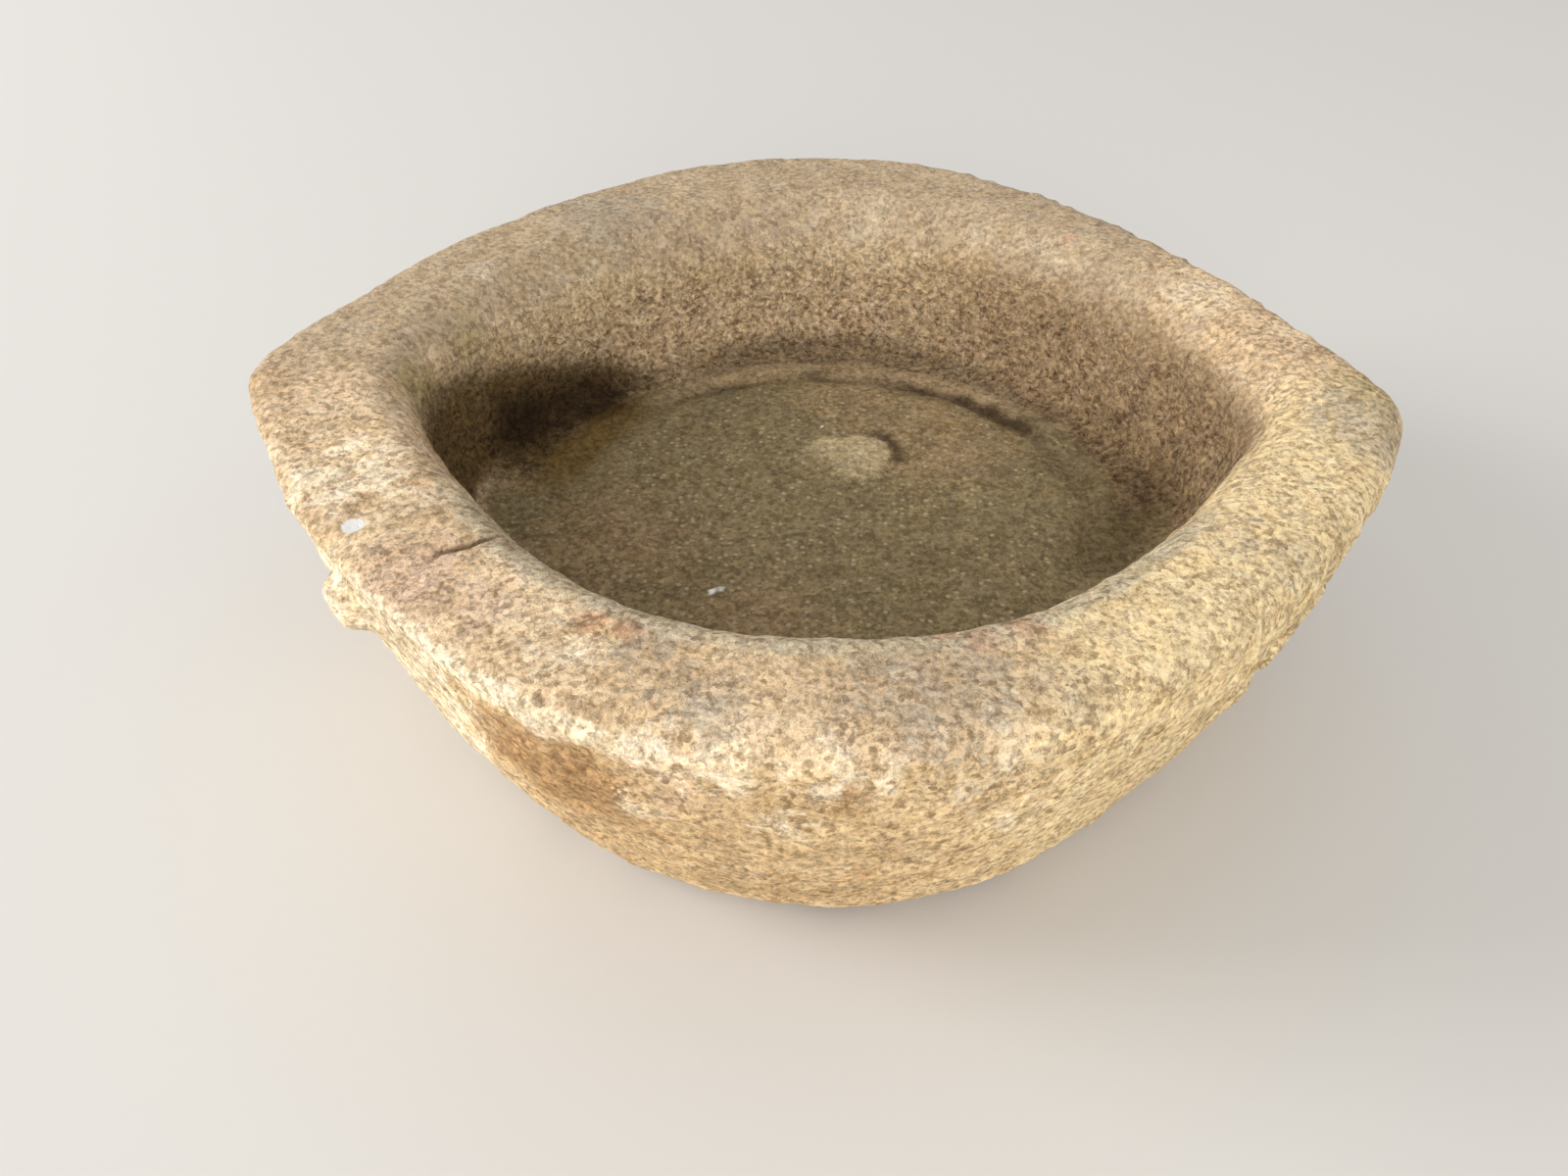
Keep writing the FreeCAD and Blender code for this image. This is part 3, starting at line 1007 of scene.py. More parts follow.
    def hollow_maps(self, surface: Surface, zones: Zones) -> dict[Mask, Array]:
        """The maps of the bowl.

        Args:
            surface: the stone's points.
            zones: where each point lies.

        Returns:
            Each map, with one value for each point.
        """
        x, y, z = surface.x, surface.y, surface.z
        below = self.shape.height - z
        reach = self.shape.track_reach(surface)
        low = smooth_step(z, 68.0, 62.0) * zones.hollow
        left = smooth_step(-x, 36.0, 98.0)
        # soot and painted shadow: dark below a line that falls like the shadow of the left rim
        soot_and_shade = smooth_step(self.dark_line(surface) - z, -8.0, 10.0) * left
        far = smooth_step(y, -25.0, 10.0)
        foot = smooth_step(reach, 0.85, 1.02) * far * (1.0 + 0.6 * smooth_step(-x, 40.0, 85.0))
        on_wall = np.maximum(np.maximum(smooth_step(z, 59.5, 66.0), 0.55 * foot), 0.1 + 0.1 * far)
        # painted shade on the ring at the foot of the back wall
        ring = 0.38 * smooth_step(reach, 1.07, 1.13) * smooth_step(z, 66.0, 60.0) * far
        corner = 0.38 * smooth_step(x, 82.0, 128.0) * smooth_step(below, 36.0, 56.0)
        # painted shadow of the boss
        crescent = self.crescent.on(surface) * (1.0 - self.shape.boss(surface))
        wander = 1.018 + 0.037 * surface.noise(26.0, 3, 14)
        # painted shade in the groove along the outer side of the track
        crease = (1.0 - smooth_step(np.abs(reach - wander), 0.0, 0.1)) * smooth_step(y, -20.0, 50.0)
        crease *= 0.45 + 0.55 * smooth_step(surface.noise(22.0, 2, 15), -0.35, 0.25)
        crease *= 0.4 + 0.6 * smooth_step(x, -60.0, 0.0)
        return {
            Mask.HOLLOW: zones.hollow * smooth_step(below, 1.0, 14.0),
            Mask.WALL: zones.hollow * smooth_step(below, 10.0, 50.0),
            Mask.RUSSET: smooth_step(zones.mouth, -9.0, 6.0)
            * smooth_step(x, -20.0, 110.0)
            * smooth_step(y, -70.0, -20.0),
            Mask.LOAM_AND_LIGHT: zones.floor * gathered(surface, self.loam_and_light),
            Mask.FLOOR: zones.hollow
            * smooth_step(z, 63.0, 58.8)
            * np.maximum(smooth_step(reach, 1.17, 1.09), 1.0 - far),
            Mask.BAND: low
            * smooth_step(reach, 0.98, 1.04)
            * smooth_step(y, -10.0, 40.0)
            * smooth_step(x, 105.0, 60.0)
            # painted shade: the band's paler tone fades out at the left, which lies in shade
            * (0.25 + 0.75 * smooth_step(x, -85.0, -30.0)),
            Mask.TRACK_SHADE: np.maximum(np.maximum(crease, 0.75 * crescent), ring) * low,
            Mask.BOSS: self.shape.boss(surface) * zones.floor * (0.4 + 0.6 * smooth_step(x + y, 8.0, 40.0)),
            Mask.SOOT_AND_SHADE: zones.hollow * np.maximum(soot_and_shade * on_wall, corner),
            Mask.PITCH_AND_SHADE: zones.hollow * self.darkest(surface),
        }

    def outer_maps(self, surface: Surface, zones: Zones) -> dict[Mask, Array]:
        """The maps of the rim and the flanks.

        Args:
            surface: the stone's points.
            zones: where each point lies.

        Returns:
            Each map, with one value for each point.
        """
        x, y, z = surface.x, surface.y, surface.z
        outer = 1.0 - zones.hollow
        back = smooth_step(y, -70.0, 30.0) * (1.0 - smooth_step(x, 100.0, 165.0))
        left_flank = 1.2 * zones.flank * smooth_step(-x, 75.0, 105.0) * smooth_step(-y, -20.0, 80.0)
        lower = 0.4 * zones.flank * smooth_step(-y, 60.0, 140.0) * smooth_step(x, -105.0, -70.0)
        lower *= 1.0 - 0.6 * smooth_step(x, 0.0, 60.0)
        # painted shade inside the fissure
        crack_shade = 1.0 - smooth_step(FISSURE.away(surface), 0.3, 2.2)
        lip = (
            smooth_step(zones.mouth, -16.0, -7.0)
            * smooth_step(-y, 60.0, 105.0)
            * smooth_step(z, 106.0, 112.0)
        )
        return {
            Mask.LIP: lip,
            # grey weathering and painted shade: the back half of the rim and flanks darker
            Mask.BACK_WEATHER_AND_SHADE: outer * back,
            Mask.CREAM_AND_HIGHLIGHT: np.maximum(gathered(surface, self.cream_and_highlight), 0.75 * left_flank),
            # golden tint on the right of the rim, and the painted pool of light on the back-left wall
            Mask.GOLD_AND_LIGHT: np.maximum(
                outer * smooth_step(x, 20.0, 110.0) * smooth_step(-y, -20.0, 40.0), self.sunny.on(surface)
            ),
            Mask.OCHRE: np.maximum(gathered(surface, self.ochre), lower) * zones.flank,
            Mask.MAUVE: gathered(surface, self.mauve),
            Mask.GREY: gathered(surface, self.grey) * outer,
            Mask.MOSS: gathered(surface, self.moss),
            Mask.RUST: gathered(surface, self.rust),
            Mask.BLOOM_AND_LIGHT: gathered(surface, self.bloom_and_light + self.scuffs),
            Mask.LIME: gathered(surface, self.lime),
            Mask.CRACK_SHADE: crack_shade * (0.4 + 0.8 * Spot(-95.0, -115.0, 118.0, 14.0).on(surface)),
            Mask.FLANK: zones.flank,
        }

    def paint(self, mesh: bpy.types.Mesh) -> None:
        """Leave the maps on a mesh.

        Args:
            mesh: the skin of the stone, which gets one attribute for each map.
        """
        surface = Surface.of(mesh)
        zones = Zones.of(surface, self.shape)
        maps = self.hollow_maps(surface, zones) | self.outer_maps(surface, zones)
        for mask, values in maps.items():
            layer = mesh.attributes.new(mask.value, "FLOAT", "POINT")
            layer.data.foreach_set("value", values.astype(np.float32))


class Stir(Enum):
    """How broad the noise is that breaks up the edge of a wash, in millimetres."""

    FINE = 3.2
    MIDDLE = 8.0
    BROAD = 16.0


@dataclass(frozen=True)
class Wash:
    """One colour laid where a map says, its edge moved about by noise.

    The noise moves the edge by breadth, and softness is how much of the map the edge takes up.
    """

    mask: Mask
    colour: Colour
    share: float
    stir: Stir = Stir.MIDDLE
    breadth: float = 1.2
    softness: float = 0.5


class Desk:
    """A small bench for laying out shader nodes."""

    def __init__(self, name: str) -> None:
        """Start an empty material of the given name.

        Args:
            name: what the material is called.
        """
        self.material = bpy.data.materials.new(name)
        self.material.use_nodes = True
        self.tree = self.material.node_tree
        self.tree.nodes.clear()
        self.place = self.add("ShaderNodeTexCoord").outputs["Object"]
        self.stirs: dict[Stir, bpy.types.NodeSocket] = {}

    def add(self, kind: str, **settings: object) -> bpy.types.Node:
        """Add a node and set its properties.

        Args:
            kind: Blender's name for the kind of node.
            settings: its properties, by name.

        Returns:
            The node.
        """
        node = self.tree.nodes.new(kind)
        for name, value in settings.items():
            setattr(node, name, value)
        return node

    def feed(self, socket: bpy.types.NodeSocket, value: object) -> None:
        """Link a socket into an input, or write a plain value on it.

        Args:
            socket: the input.
            value: a socket to link in, or a number or colour.
        """
        if isinstance(value, bpy.types.NodeSocket):
            self.tree.links.new(value, socket)
        else:
            socket.default_value = value

    def turned(self, turn: Place, scale: Place) -> bpy.types.NodeSocket:
        """Object coordinates turned by degrees about each axis and then scaled along it.

        Args:
            turn: degrees about X, Y and Z.
            scale: how much finer a pattern gets along each.

        Returns:
            A socket with the turned places.
        """
        node = self.add("ShaderNodeMapping")
        self.feed(node.inputs["Vector"], self.place)
        node.inputs["Scale"].default_value = scale
        node.inputs["Rotation"].default_value = tuple(math.radians(angle) for angle in turn)
        return node.outputs["Vector"]

    def noise(
        self, size: float, detail: float = 3.0, rough: float = 0.55, twist: float = 0.0, place: object = None
    ) -> bpy.types.NodeSocket:
        """Smooth noise whose lumps are a given number of millimetres wide.

        Args:
            size: width of the largest lumps, in millimetres.
            detail: how many finer layers there are.
            rough: how strong the finer layers are.
            twist: how much the lumps are drawn about.
            place: the places to read instead of the object's own.

        Returns:
            A socket from 0 to 1.
        """
        node = self.add("ShaderNodeTexNoise")
        self.feed(node.inputs["Vector"], place or self.place)
        node.inputs["Scale"].default_value = 1.0 / (size * MM)
        node.inputs["Detail"].default_value = detail
        node.inputs["Roughness"].default_value = rough
        node.inputs["Distortion"].default_value = twist
        return node.outputs["Fac"]

    def cells(self, size: float, place: object = None) -> bpy.types.Node:
        """Scattered grains a given number of millimetres apart.

        Args:
            size: distance from grain to grain, in millimetres.
            place: the places to read instead of the object's own.

        Returns:
            The node, which gives both a colour and a distance.
        """
        node = self.add("ShaderNodeTexVoronoi")
        self.feed(node.inputs["Vector"], place or self.place)
        node.inputs["Scale"].default_value = 1.0 / (size * MM)
        return node

    def chances(self, cells: bpy.types.Node) -> tuple[bpy.types.NodeSocket, bpy.types.NodeSocket]:
        """Two numbers from 0 to 1 that differ from grain to grain.

        Args:
            cells: the scattered grains.

        Returns:
            The two sockets.
        """
        split = self.add("ShaderNodeSeparateColor")
        self.feed(split.inputs[0], cells.outputs["Color"])
        return split.outputs[0], split.outputs[1]

    def specks(self, size: float, width: float, share: float) -> bpy.types.NodeSocket:
        """Sparse round specks.

        Args:
            size: distance between the places where one may be.
            width: radius of a speck as a share of that distance.
            share: how many of the places have one.

        Returns:
            A socket that is 1 on a speck and 0 elsewhere.
        """
        cells = self.cells(size)
        chosen = self.band(self.chances(cells)[0], share + 0.02, share - 0.02)
        return self.sum("MULTIPLY", self.band(cells.outputs["Distance"], width, width * 0.4), chosen)

    def crevices(self, size: float, width: float) -> bpy.types.NodeSocket:
        """Short broken lines, such as open seams between grains.

        Args:
            size: width in millimetres of the lumps that the lines run round.
            width: how broad the lines are, as a share of the noise that draws them.

        Returns:
            A socket that is 1 in a line and 0 elsewhere.
        """
        off = self.sum("ABSOLUTE", self.sum("SUBTRACT", self.noise(size, 3.0, 0.6, 0.8), 0.5), 0.0)
        lines = self.band(off, width, width * 0.2)
        return self.sum("MULTIPLY", lines, self.band(self.noise(size * 2.3, 2.0), 0.46, 0.6))

    def mask(self, mask: Mask) -> bpy.types.NodeSocket:
        """One of the maps that the patina left."""
        return self.add("ShaderNodeAttribute", attribute_name=mask.value).outputs["Fac"]

    def stir(self, stir: Stir) -> bpy.types.NodeSocket:
        """The noise of a given breadth that moves the edges of washes, about 0; made once for all of them.

        Args:
            stir: how broad the noise is.

        Returns:
            A socket from about -0.5 to 0.5.
        """
        if stir not in self.stirs:
            self.stirs[stir] = self.sum("SUBTRACT", self.noise(stir.value, 7.0, 0.78), 0.5)
        return self.stirs[stir]

    def wash(self, tone: object, wash: Wash) -> bpy.types.NodeSocket:
        """Lay a wash over a colour.

        Args:
            tone: the colour so far.
            wash: what is laid over it, and where.

        Returns:
            The new colour.
        """
        moved = self.sum(
            "ADD", self.mask(wash.mask), self.sum("MULTIPLY", self.stir(wash.stir), wash.breadth)
        )
        share = self.band(moved, 0.5 - wash.softness / 2.0, 0.5 + wash.softness / 2.0, 0.0, wash.share)
        share = self.sum("MULTIPLY", share, self.band(self.mask(wash.mask), 0.0, 0.15))
        return self.lay(share, tone, wash.colour)

    def band(
        self, value: object, low: float, high: float, bottom: float = 0.0, top: float = 1.0
    ) -> bpy.types.NodeSocket:
        """Map a value smoothly from one range to another, and hold it there.

        Args:
            value: what to map.
            low: where the first range starts.
            high: where it ends; it may lie below low, and then the two ends trade places.
            bottom: the result at low.
            top: the result at high.

        Returns:
            The mapped value.
        """
        if low > high:
            low, high, bottom, top = high, low, top, bottom
        node = self.add("ShaderNodeMapRange", interpolation_type="SMOOTHSTEP")
        self.feed(node.inputs["Value"], value)
        node.inputs["From Min"].default_value = low
        node.inputs["From Max"].default_value = high
        node.inputs["To Min"].default_value = bottom
        node.inputs["To Max"].default_value = top
        return node.outputs["Result"]

    def sum(self, operation: str, *values: object) -> bpy.types.NodeSocket:
        """Do arithmetic on two or three values.

        Args:
            operation: Blender's name for the arithmetic.
            values: what goes in, in order.

        Returns:
            The result.
        """
        node = self.add("ShaderNodeMath", operation=operation)
        for socket, value in zip(node.inputs, values):
            self.feed(socket, value)
        return node.outputs["Value"]

    def lay(
        self, share: object, below: object, above: object, blend: Blend = Blend.MIX
    ) -> bpy.types.NodeSocket:
        """Lay one colour over another by a share.

        Args:
            share: how much of the upper colour shows.
            below: the colour underneath.
            above: the colour laid over it.
            blend: how the two meet.

        Returns:
            The new colour.
        """
        node = self.add("ShaderNodeMix", data_type="RGBA", blend_type=blend.value)
        self.feed(node.inputs[0], share)
        self.feed(node.inputs[6], below)
        self.feed(node.inputs[7], above)
        return node.outputs[2]

    def bump(self, height: object, depth: float, normal: object = None) -> bpy.types.NodeSocket:
        """Raise the surface by a height map that is a given number of millimetres deep.

        Args:
            height: the height map.
            depth: how deep it is, in millimetres.
            normal: the direction to start from, if it is already turned.

        Returns:
            The turned direction.
        """
        node = self.add("ShaderNodeBump")
        self.feed(node.inputs["Height"], height)
        node.inputs["Distance"].default_value = depth * MM
        if normal is not None:
            self.feed(node.inputs["Normal"], normal)
        return node.outputs["Normal"]


@dataclass(frozen=True)
class Sandstone:
    """Weathered buff sandstone, dark and greasy where it was used, with painted shade and painted light in
    its colour.
    """

    pale: Colour = linear(240, 214, 178)
    sand: Colour = linear(214, 186, 150)
    washes: tuple[Wash, ...] = (
        Wash(Mask.FLANK, linear(242, 214, 166), 0.65, Stir.BROAD, 1.6, 0.6),
        # golden tint, and a painted pool of light on the back-left wall
        Wash(Mask.GOLD_AND_LIGHT, linear(246, 222, 176), 0.9, Stir.BROAD, 1.0, 0.7),
        Wash(Mask.OCHRE, linear(184, 145, 100), 0.88, Stir.MIDDLE, 2.4, 0.6),
        # grey weathering and painted shade at the back
        Wash(Mask.BACK_WEATHER_AND_SHADE, linear(194, 173, 144), 0.85, Stir.BROAD, 0.9, 0.8),
        Wash(Mask.MAUVE, linear(228, 197, 172), 0.7, Stir.BROAD, 1.4, 0.6),
        # cream stone, and a painted highlight along the rim crease
        Wash(Mask.CREAM_AND_HIGHLIGHT, linear(255, 240, 211), 0.75, Stir.MIDDLE, 2.4, 0.45),
        Wash(Mask.GREY, linear(180, 166, 146), 0.65, Stir.MIDDLE, 2.6, 0.4),
        # pale bloom and scuffs, and a painted pool of light on the back-left wall
        Wash(Mask.BLOOM_AND_LIGHT, linear(226, 211, 184), 0.5, Stir.MIDDLE, 1.8, 0.6),
        Wash(Mask.HOLLOW, linear(208, 185, 148), 0.9, Stir.BROAD, 0.8, 0.7),
        Wash(Mask.WALL, linear(213, 187, 152), 0.95, Stir.BROAD, 0.5, 1.0),
        Wash(Mask.RUSSET, linear(165, 140, 108), 0.92, Stir.BROAD, 0.5, 1.0),
        Wash(Mask.MOSS, linear(162, 147, 98), 0.6, Stir.MIDDLE, 1.4, 0.6),
        Wash(Mask.LIP, linear(206, 193, 166), 0.75, Stir.FINE, 0.8, 0.6),
        Wash(Mask.FLOOR, linear(130, 116, 86), 1.0, Stir.MIDDLE, 0.6, 0.5),
        # paler floor, partly a painted pool of light at the front left
        Wash(Mask.LOAM_AND_LIGHT, linear(146, 125, 94), 0.9, Stir.BROAD, 1.6, 0.8),
        Wash(Mask.BAND, linear(166, 144, 112), 0.8, Stir.MIDDLE, 0.7, 0.6),
        Wash(Mask.BOSS, linear(180, 163, 128), 0.9, Stir.FINE, 0.4, 0.8),
        # painted shade in the groove, the boss's painted shadow and painted shade at the wall's foot
        Wash(Mask.TRACK_SHADE, linear(66, 52, 36), 0.95, Stir.MIDDLE, 1.1, 0.9),
        # soot and painted shade on the left of the bowl
        Wash(Mask.SOOT_AND_SHADE, linear(106, 84, 42), 0.92, Stir.BROAD, 0.9, 1.0),
        # grime and painted shade at the foot of the wall
        Wash(Mask.PITCH_AND_SHADE, linear(40, 22, 0), 0.9, Stir.BROAD, 1.0, 1.0),
        Wash(Mask.RUST, linear(196, 138, 104), 0.4, Stir.FINE, 2.6, 0.4),
        # painted shade in the fissure
        Wash(Mask.CRACK_SHADE, linear(96, 74, 56), 0.7, Stir.FINE, 0.9, 0.6),
    )
    chalk: Wash = Wash(Mask.LIME, linear(253, 250, 243), 1.0, Stir.FINE, 0.7, 0.35)
    pit: Colour = linear(92, 74, 56)
    speck: Colour = linear(244, 232, 206)
    sparkle: Colour = linear(184, 170, 136)
    # painted shade, laid in the pecked pits of the wall and in the crevices
    seam: Colour = (0.50, 0.44, 0.39, 1.0)
    # painted highlight on the ridges between the pecked pits
    ridge_highlight: Colour = (1.35, 1.36, 1.35, 1.0)
    dim: Colour = (0.78, 0.73, 0.66, 1.0)
    bright: Colour = (1.22, 1.23, 1.24, 1.0)
    fleck: Colour = (0.80, 0.77, 0.74, 1.0)
    # painted shade on the low grains and a painted highlight on the raised ones
    shadow: Colour = (0.69, 0.65, 0.60, 1.0)
    glow: Colour = (1.48, 1.49, 1.47, 1.0)
    warm: Colour = (1.03, 0.99, 0.92, 1.0)
    cool: Colour = (0.97, 0.98, 1.03, 1.0)
    roughness: float = 0.9
    gloss: float = 0.2

    def ground(self, desk: Desk) -> bpy.types.NodeSocket:
        """Colour of the stone, with its wear, its dirt and its painted shade and light laid over it one wash
        at a time.

        Args:
            desk: where the nodes go.

        Returns:
            The colour.
        """
        tone = desk.lay(desk.band(desk.noise(28.0, 6.0, 0.7), 0.40, 0.60), self.sand, self.pale)
        for wash in self.washes:
            tone = desk.wash(tone, wash)
        return tone

    def grit(self, desk: Desk) -> bpy.types.NodeSocket:
        """Height of the grains and lumps that stand out of the worn surface, from 0 to 1."""
        chance = desk.chances(desk.cells(1.7))[0]
        return desk.sum("MULTIPLY_ADD", desk.noise(2.5, 4.6, 0.88), 0.84, desk.sum("MULTIPLY", chance, 0.16))

    def pecked(self, desk: Desk) -> bpy.types.NodeSocket:
        """Height of the short strokes of the pick, which run round the wall, from 0 to 1."""
        return desk.noise(3.0, 3.0, 0.68, 0.5, desk.turned((0.0, 12.0, 0.0), (1.0, 1.0, 1.6)))

    def speckle(
        self, desk: Desk, tone: bpy.types.NodeSocket, grit: bpy.types.NodeSocket, pecked: bpy.types.NodeSocket
    ) -> bpy.types.NodeSocket:
        """Lay painted shade on what lies low and a painted highlight on what stands out, and scatter the
        single grains.

        Args:
            desk: where the nodes go.
            tone: the colour so far.
            grit: height of the grains.
            pecked: height between the pits of the wall.

        Returns:
            The speckled colour.
        """
        outside = desk.band(desk.mask(Mask.HOLLOW), 0.0, 0.6, 1.0, 0.35)
        level = desk.band(grit, 0.35, 0.67)
        # the painted shade and highlight of the grains are weaker at the back, which is painted as lying in
        # shade
        share = desk.band(desk.mask(Mask.BACK_WEATHER_AND_SHADE), 0.0, 1.0, 1.0, 0.75)
        # painted shade on low grains, painted highlight on raised grains
        low = desk.lay(1.0, tone, self.shadow, Blend.MULTIPLY)
        high = desk.lay(1.0, tone, self.glow, Blend.MULTIPLY)
        tone = desk.lay(share, tone, desk.lay(level, low, high))
        massed = desk.sum("MULTIPLY_ADD", desk.stir(Stir.BROAD), 0.3, grit)
        dark = desk.sum("MULTIPLY", desk.band(massed, 0.46, 0.35), desk.sum("MULTIPLY", outside, share))
        tone = desk.lay(dark, tone, desk.lay(1.0, tone, self.fleck, Blend.MULTIPLY))
        cloud = desk.sum(
            "MULTIPLY_ADD", desk.stir(Stir.BROAD), 0.6, desk.sum("MULTIPLY", desk.stir(Stir.MIDDLE), 0.5)
        )
        clouded = desk.band(desk.mask(Mask.FLANK), 0.0, 1.0, 0.4, 1.0)
        cloudy = desk.lay(desk.band(cloud, -0.13, 0.13), self.dim, self.bright)
        tone = desk.lay(clouded, tone, desk.lay(1.0, tone, cloudy, Blend.MULTIPLY))
        hue = desk.band(desk.noise(9.0, 7.0, 0.8), 0.38, 0.62)
        tone = desk.lay(1.0, tone, desk.lay(hue, self.warm, self.cool), Blend.MULTIPLY)
        floor = desk.mask(Mask.FLOOR)
        worn = desk.band(floor, 0.1, 0.7, 1.0, 0.2)
        wall = desk.sum("MULTIPLY", desk.mask(Mask.HOLLOW), worn)
        # painted shade in the pecked pits
        low = desk.sum("MULTIPLY", desk.band(pecked, 0.48, 0.37), wall)
        tone = desk.lay(low, tone, desk.lay(1.0, tone, self.seam, Blend.MULTIPLY))
        # painted highlight on the ridges between the pits
        high = desk.sum("MULTIPLY", desk.band(pecked, 0.54, 0.66), wall)
        tone = desk.lay(high, tone, desk.lay(1.0, tone, self.ridge_highlight, Blend.MULTIPLY))
        rough = desk.sum("MULTIPLY", desk.band(desk.mask(Mask.HOLLOW), 0.0, 0.6, 0.35, 0.9), worn)
        # crevices darkened: dark seams with painted shade in them
        seams = desk.sum("MULTIPLY", desk.crevices(4.5, 0.035), rough)
        tone = desk.lay(seams, tone, desk.lay(1.0, tone, self.seam, Blend.MULTIPLY))
        tone = desk.lay(desk.sum("MULTIPLY", desk.specks(5.0, 0.14, 0.3), 0.45), tone, self.pit)
        bare = desk.band(desk.sum("MAXIMUM", desk.mask(Mask.TRACK_SHADE), desk.mask(Mask.PITCH_AND_SHADE)), 0.4, 0.0)
        scattered = desk.sum("MULTIPLY", desk.specks(3.4, 0.2, 0.16), desk.sum("MULTIPLY", outside, bare))
        tone = desk.lay(desk.sum("MULTIPLY", scattered, 0.5), tone, self.speck)
        used = desk.band(desk.mask(Mask.SOOT_AND_SHADE), 0.5, 0.0, 0.0, 0.7)
        clean = desk.sum("MULTIPLY", desk.band(floor, 0.3, 0.8), desk.sum("MULTIPLY", used, bare))
        sparkle = desk.sum("MULTIPLY", desk.specks(3.0, 0.4, 0.34), clean)
        return desk.lay(sparkle, tone, self.sparkle)

    def relief(
        self, desk: Desk, grit: bpy.types.NodeSocket, pecked: bpy.types.NodeSocket
    ) -> bpy.types.NodeSocket:
        """Fine relief: pecked pits on the wall, streaks of the tool on the flanks, grain all over.

        Args:
            desk: where the nodes go.
            grit: height of the grains.
            pecked: height between the pits of the wall.

        Returns:
            The turned normal.
        """
        worn = desk.band(desk.mask(Mask.FLOOR), 0.1, 0.7, 1.0, 0.4)
        wall = desk.sum("MULTIPLY", desk.sum("MULTIPLY", pecked, desk.mask(Mask.HOLLOW)), worn)
        normal = desk.bump(wall, 2.2)
        streaks = desk.noise(3.2, 3.0, 0.6, 0.0, desk.turned((0.0, 50.0, 0.0), (0.75, 1.0, 1.0)))
        normal = desk.bump(desk.sum("MULTIPLY", streaks, desk.mask(Mask.FLANK)), 1.0, normal)
        return desk.bump(desk.sum("MULTIPLY", grit, worn), 2.8, normal)

    def make(self) -> bpy.types.Material:
        """Lay out the finish.

        Returns:
            The material.
        """
        desk = Desk("weathered_sandstone")
        grit = self.grit(desk)
        pecked = self.pecked(desk)
        tone = desk.wash(self.speckle(desk, self.ground(desk), grit, pecked), self.chalk)
        shader = desk.add("ShaderNodeBsdfPrincipled")
        desk.feed(shader.inputs["Base Color"], tone)
        shader.inputs["Roughness"].default_value = self.roughness
        shader.inputs["Specular IOR Level"].default_value = self.gloss
        desk.feed(shader.inputs["Normal"], self.relief(desk, grit, pecked))
        output = desk.add("ShaderNodeOutputMaterial")
        desk.feed(output.inputs["Surface"], shader.outputs["BSDF"])
        return desk.material


@dataclass
class StoneMortar:
    """The whole mortar: roughed out, carved, given its patina and dressed."""

    shape: Shape = Shape()

    def build(self) -> bpy.types.Object:
        """Make the stone.

        Returns:
            The object, with its place in its mesh.
        """
        mesh = RoughStone(self.shape).build()
        carving = Carving(self.shape)
        carving.refine(mesh)
        Patina(self.shape).paint(mesh)
        carving.work(mesh)
        mesh.shade_smooth()
        stone = bpy.data.objects.new("stone_mortar", mesh)
        bpy.context.scene.collection.objects.link(stone)
        return stone

    def dress(self, stone: bpy.types.Object) -> None:
        """Give the stone its finish and its place in the part.

        Args:
            stone: the object that build made.
        """
        stone.data.materials.append(Sandstone().make())
        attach(stone, BODY)
        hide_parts(NODE)


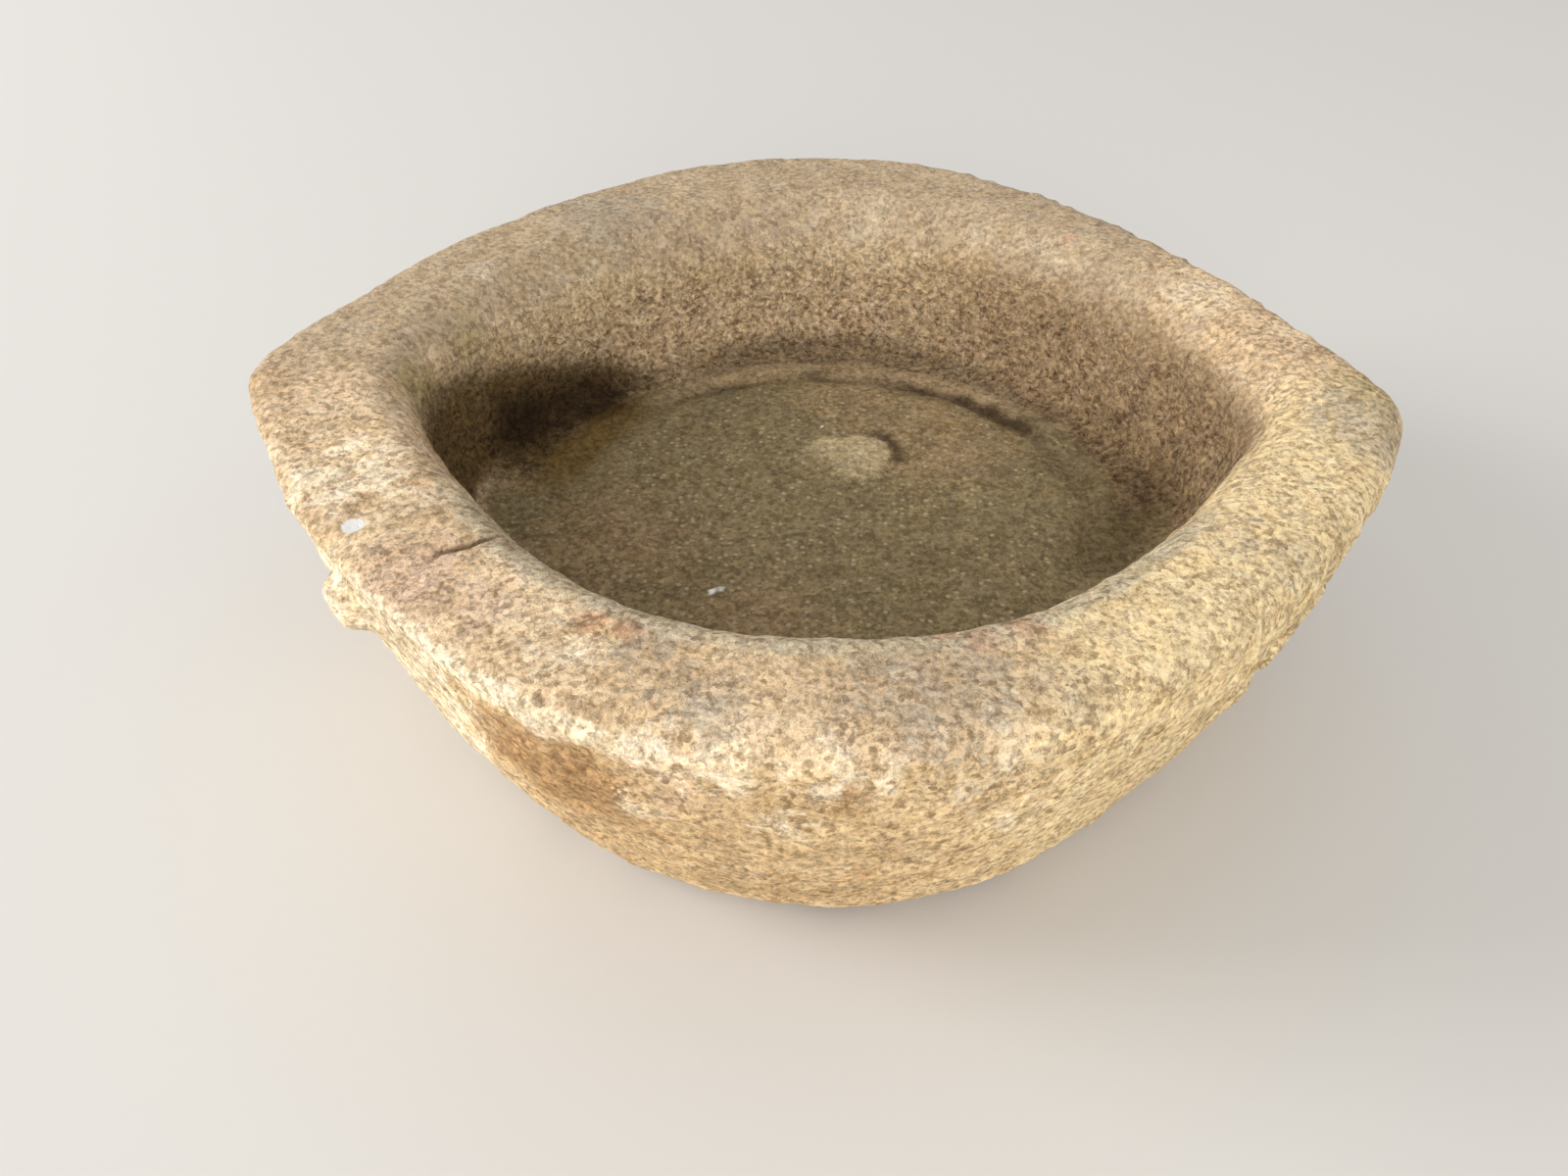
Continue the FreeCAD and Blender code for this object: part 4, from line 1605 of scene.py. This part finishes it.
@dataclass
class Studio:
    """A pale floor, soft light and the camera."""

    floor_radius: float = 1.3
    floor_segments: int = 96
    floor_colour: Colour = linear(206, 203, 198)
    floor_roughness: float = 0.9
    camera_place: Place = (0.01131, -0.36801, 0.3266)
    camera_aim: Place = (-0.04752, 0.75321, -0.65606)
    lens: float = 27.0
    sensor_width: float = 36.0
    sky: float = 0.76
    lamp_size: float = 1.6
    front_lamp: Place = (0.0, -3.3, 1.3)
    front_power: float = 72.0
    left_lamp: Place = (-3.3, 0.0, 1.3)
    left_power: float = 95.0
    lamp_aim: Place = (0.0, 0.0, 0.06)

    def lay_floor(self) -> None:
        """Lay the floor."""
        shape = bmesh.new()
        bmesh.ops.create_circle(
            shape, cap_ends=True, segments=self.floor_segments, radius=self.floor_radius
        )
        mesh = bpy.data.meshes.new("studio_floor")
        shape.to_mesh(mesh)
        shape.free()
        floor = bpy.data.objects.new("studio_floor", mesh)
        bpy.context.scene.collection.objects.link(floor)
        desk = Desk("pale_floor")
        shader = desk.add("ShaderNodeBsdfPrincipled")
        shader.inputs["Base Color"].default_value = self.floor_colour
        shader.inputs["Roughness"].default_value = self.floor_roughness
        output = desk.add("ShaderNodeOutputMaterial")
        desk.feed(output.inputs["Surface"], shader.outputs["BSDF"])
        mesh.materials.append(desk.material)

    def hang_lamp(self, name: str, place: Place, power: float) -> None:
        """Hang a soft square lamp that looks at the mortar.

        Args:
            name: what the lamp is called.
            place: where it hangs, in metres.
            power: its power in watts.
        """
        light = bpy.data.lights.new(name, "AREA")
        light.energy = power
        light.size = self.lamp_size
        lamp = bpy.data.objects.new(name, light)
        lamp.location = place
        towards = Vector(self.lamp_aim) - Vector(place)
        lamp.rotation_euler = towards.to_track_quat("-Z", "Y").to_euler()
        bpy.context.scene.collection.objects.link(lamp)

    def light_up(self) -> None:
        """Light the scene with a pale sky, and softly from the front and the left."""
        world = bpy.data.worlds.new("pale_sky")
        world.use_nodes = True
        background = world.node_tree.nodes["Background"]
        background.inputs["Color"].default_value = (1.0, 1.0, 1.0, 1.0)
        background.inputs["Strength"].default_value = self.sky
        bpy.context.scene.world = world
        self.hang_lamp("front_lamp", self.front_lamp, self.front_power)
        self.hang_lamp("left_lamp", self.left_lamp, self.left_power)

    def place_camera(self) -> None:
        """Set the camera at its viewing angle."""
        lens = bpy.data.cameras.new("camera")
        lens.lens = self.lens
        lens.sensor_width = self.sensor_width
        camera = bpy.data.objects.new("camera", lens)
        camera.location = self.camera_place
        camera.rotation_euler = Vector(self.camera_aim).to_track_quat("-Z", "Y").to_euler()
        bpy.context.scene.collection.objects.link(camera)
        bpy.context.scene.camera = camera

    def build(self) -> None:
        """Set up the floor, the light and the camera."""
        self.lay_floor()
        self.light_up()
        self.place_camera()
        bpy.context.scene.view_settings.view_transform = "Standard"


def main() -> None:
    """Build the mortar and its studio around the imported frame."""
    logging.basicConfig(level=logging.INFO, format="%(name)s: %(message)s")
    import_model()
    Studio().build()
    mortar = StoneMortar()
    stone = mortar.build()
    mortar.dress(stone)
    LOG.info("%s: %d faces", stone.name, len(stone.data.polygons))


if __name__ == "__main__":
    main()
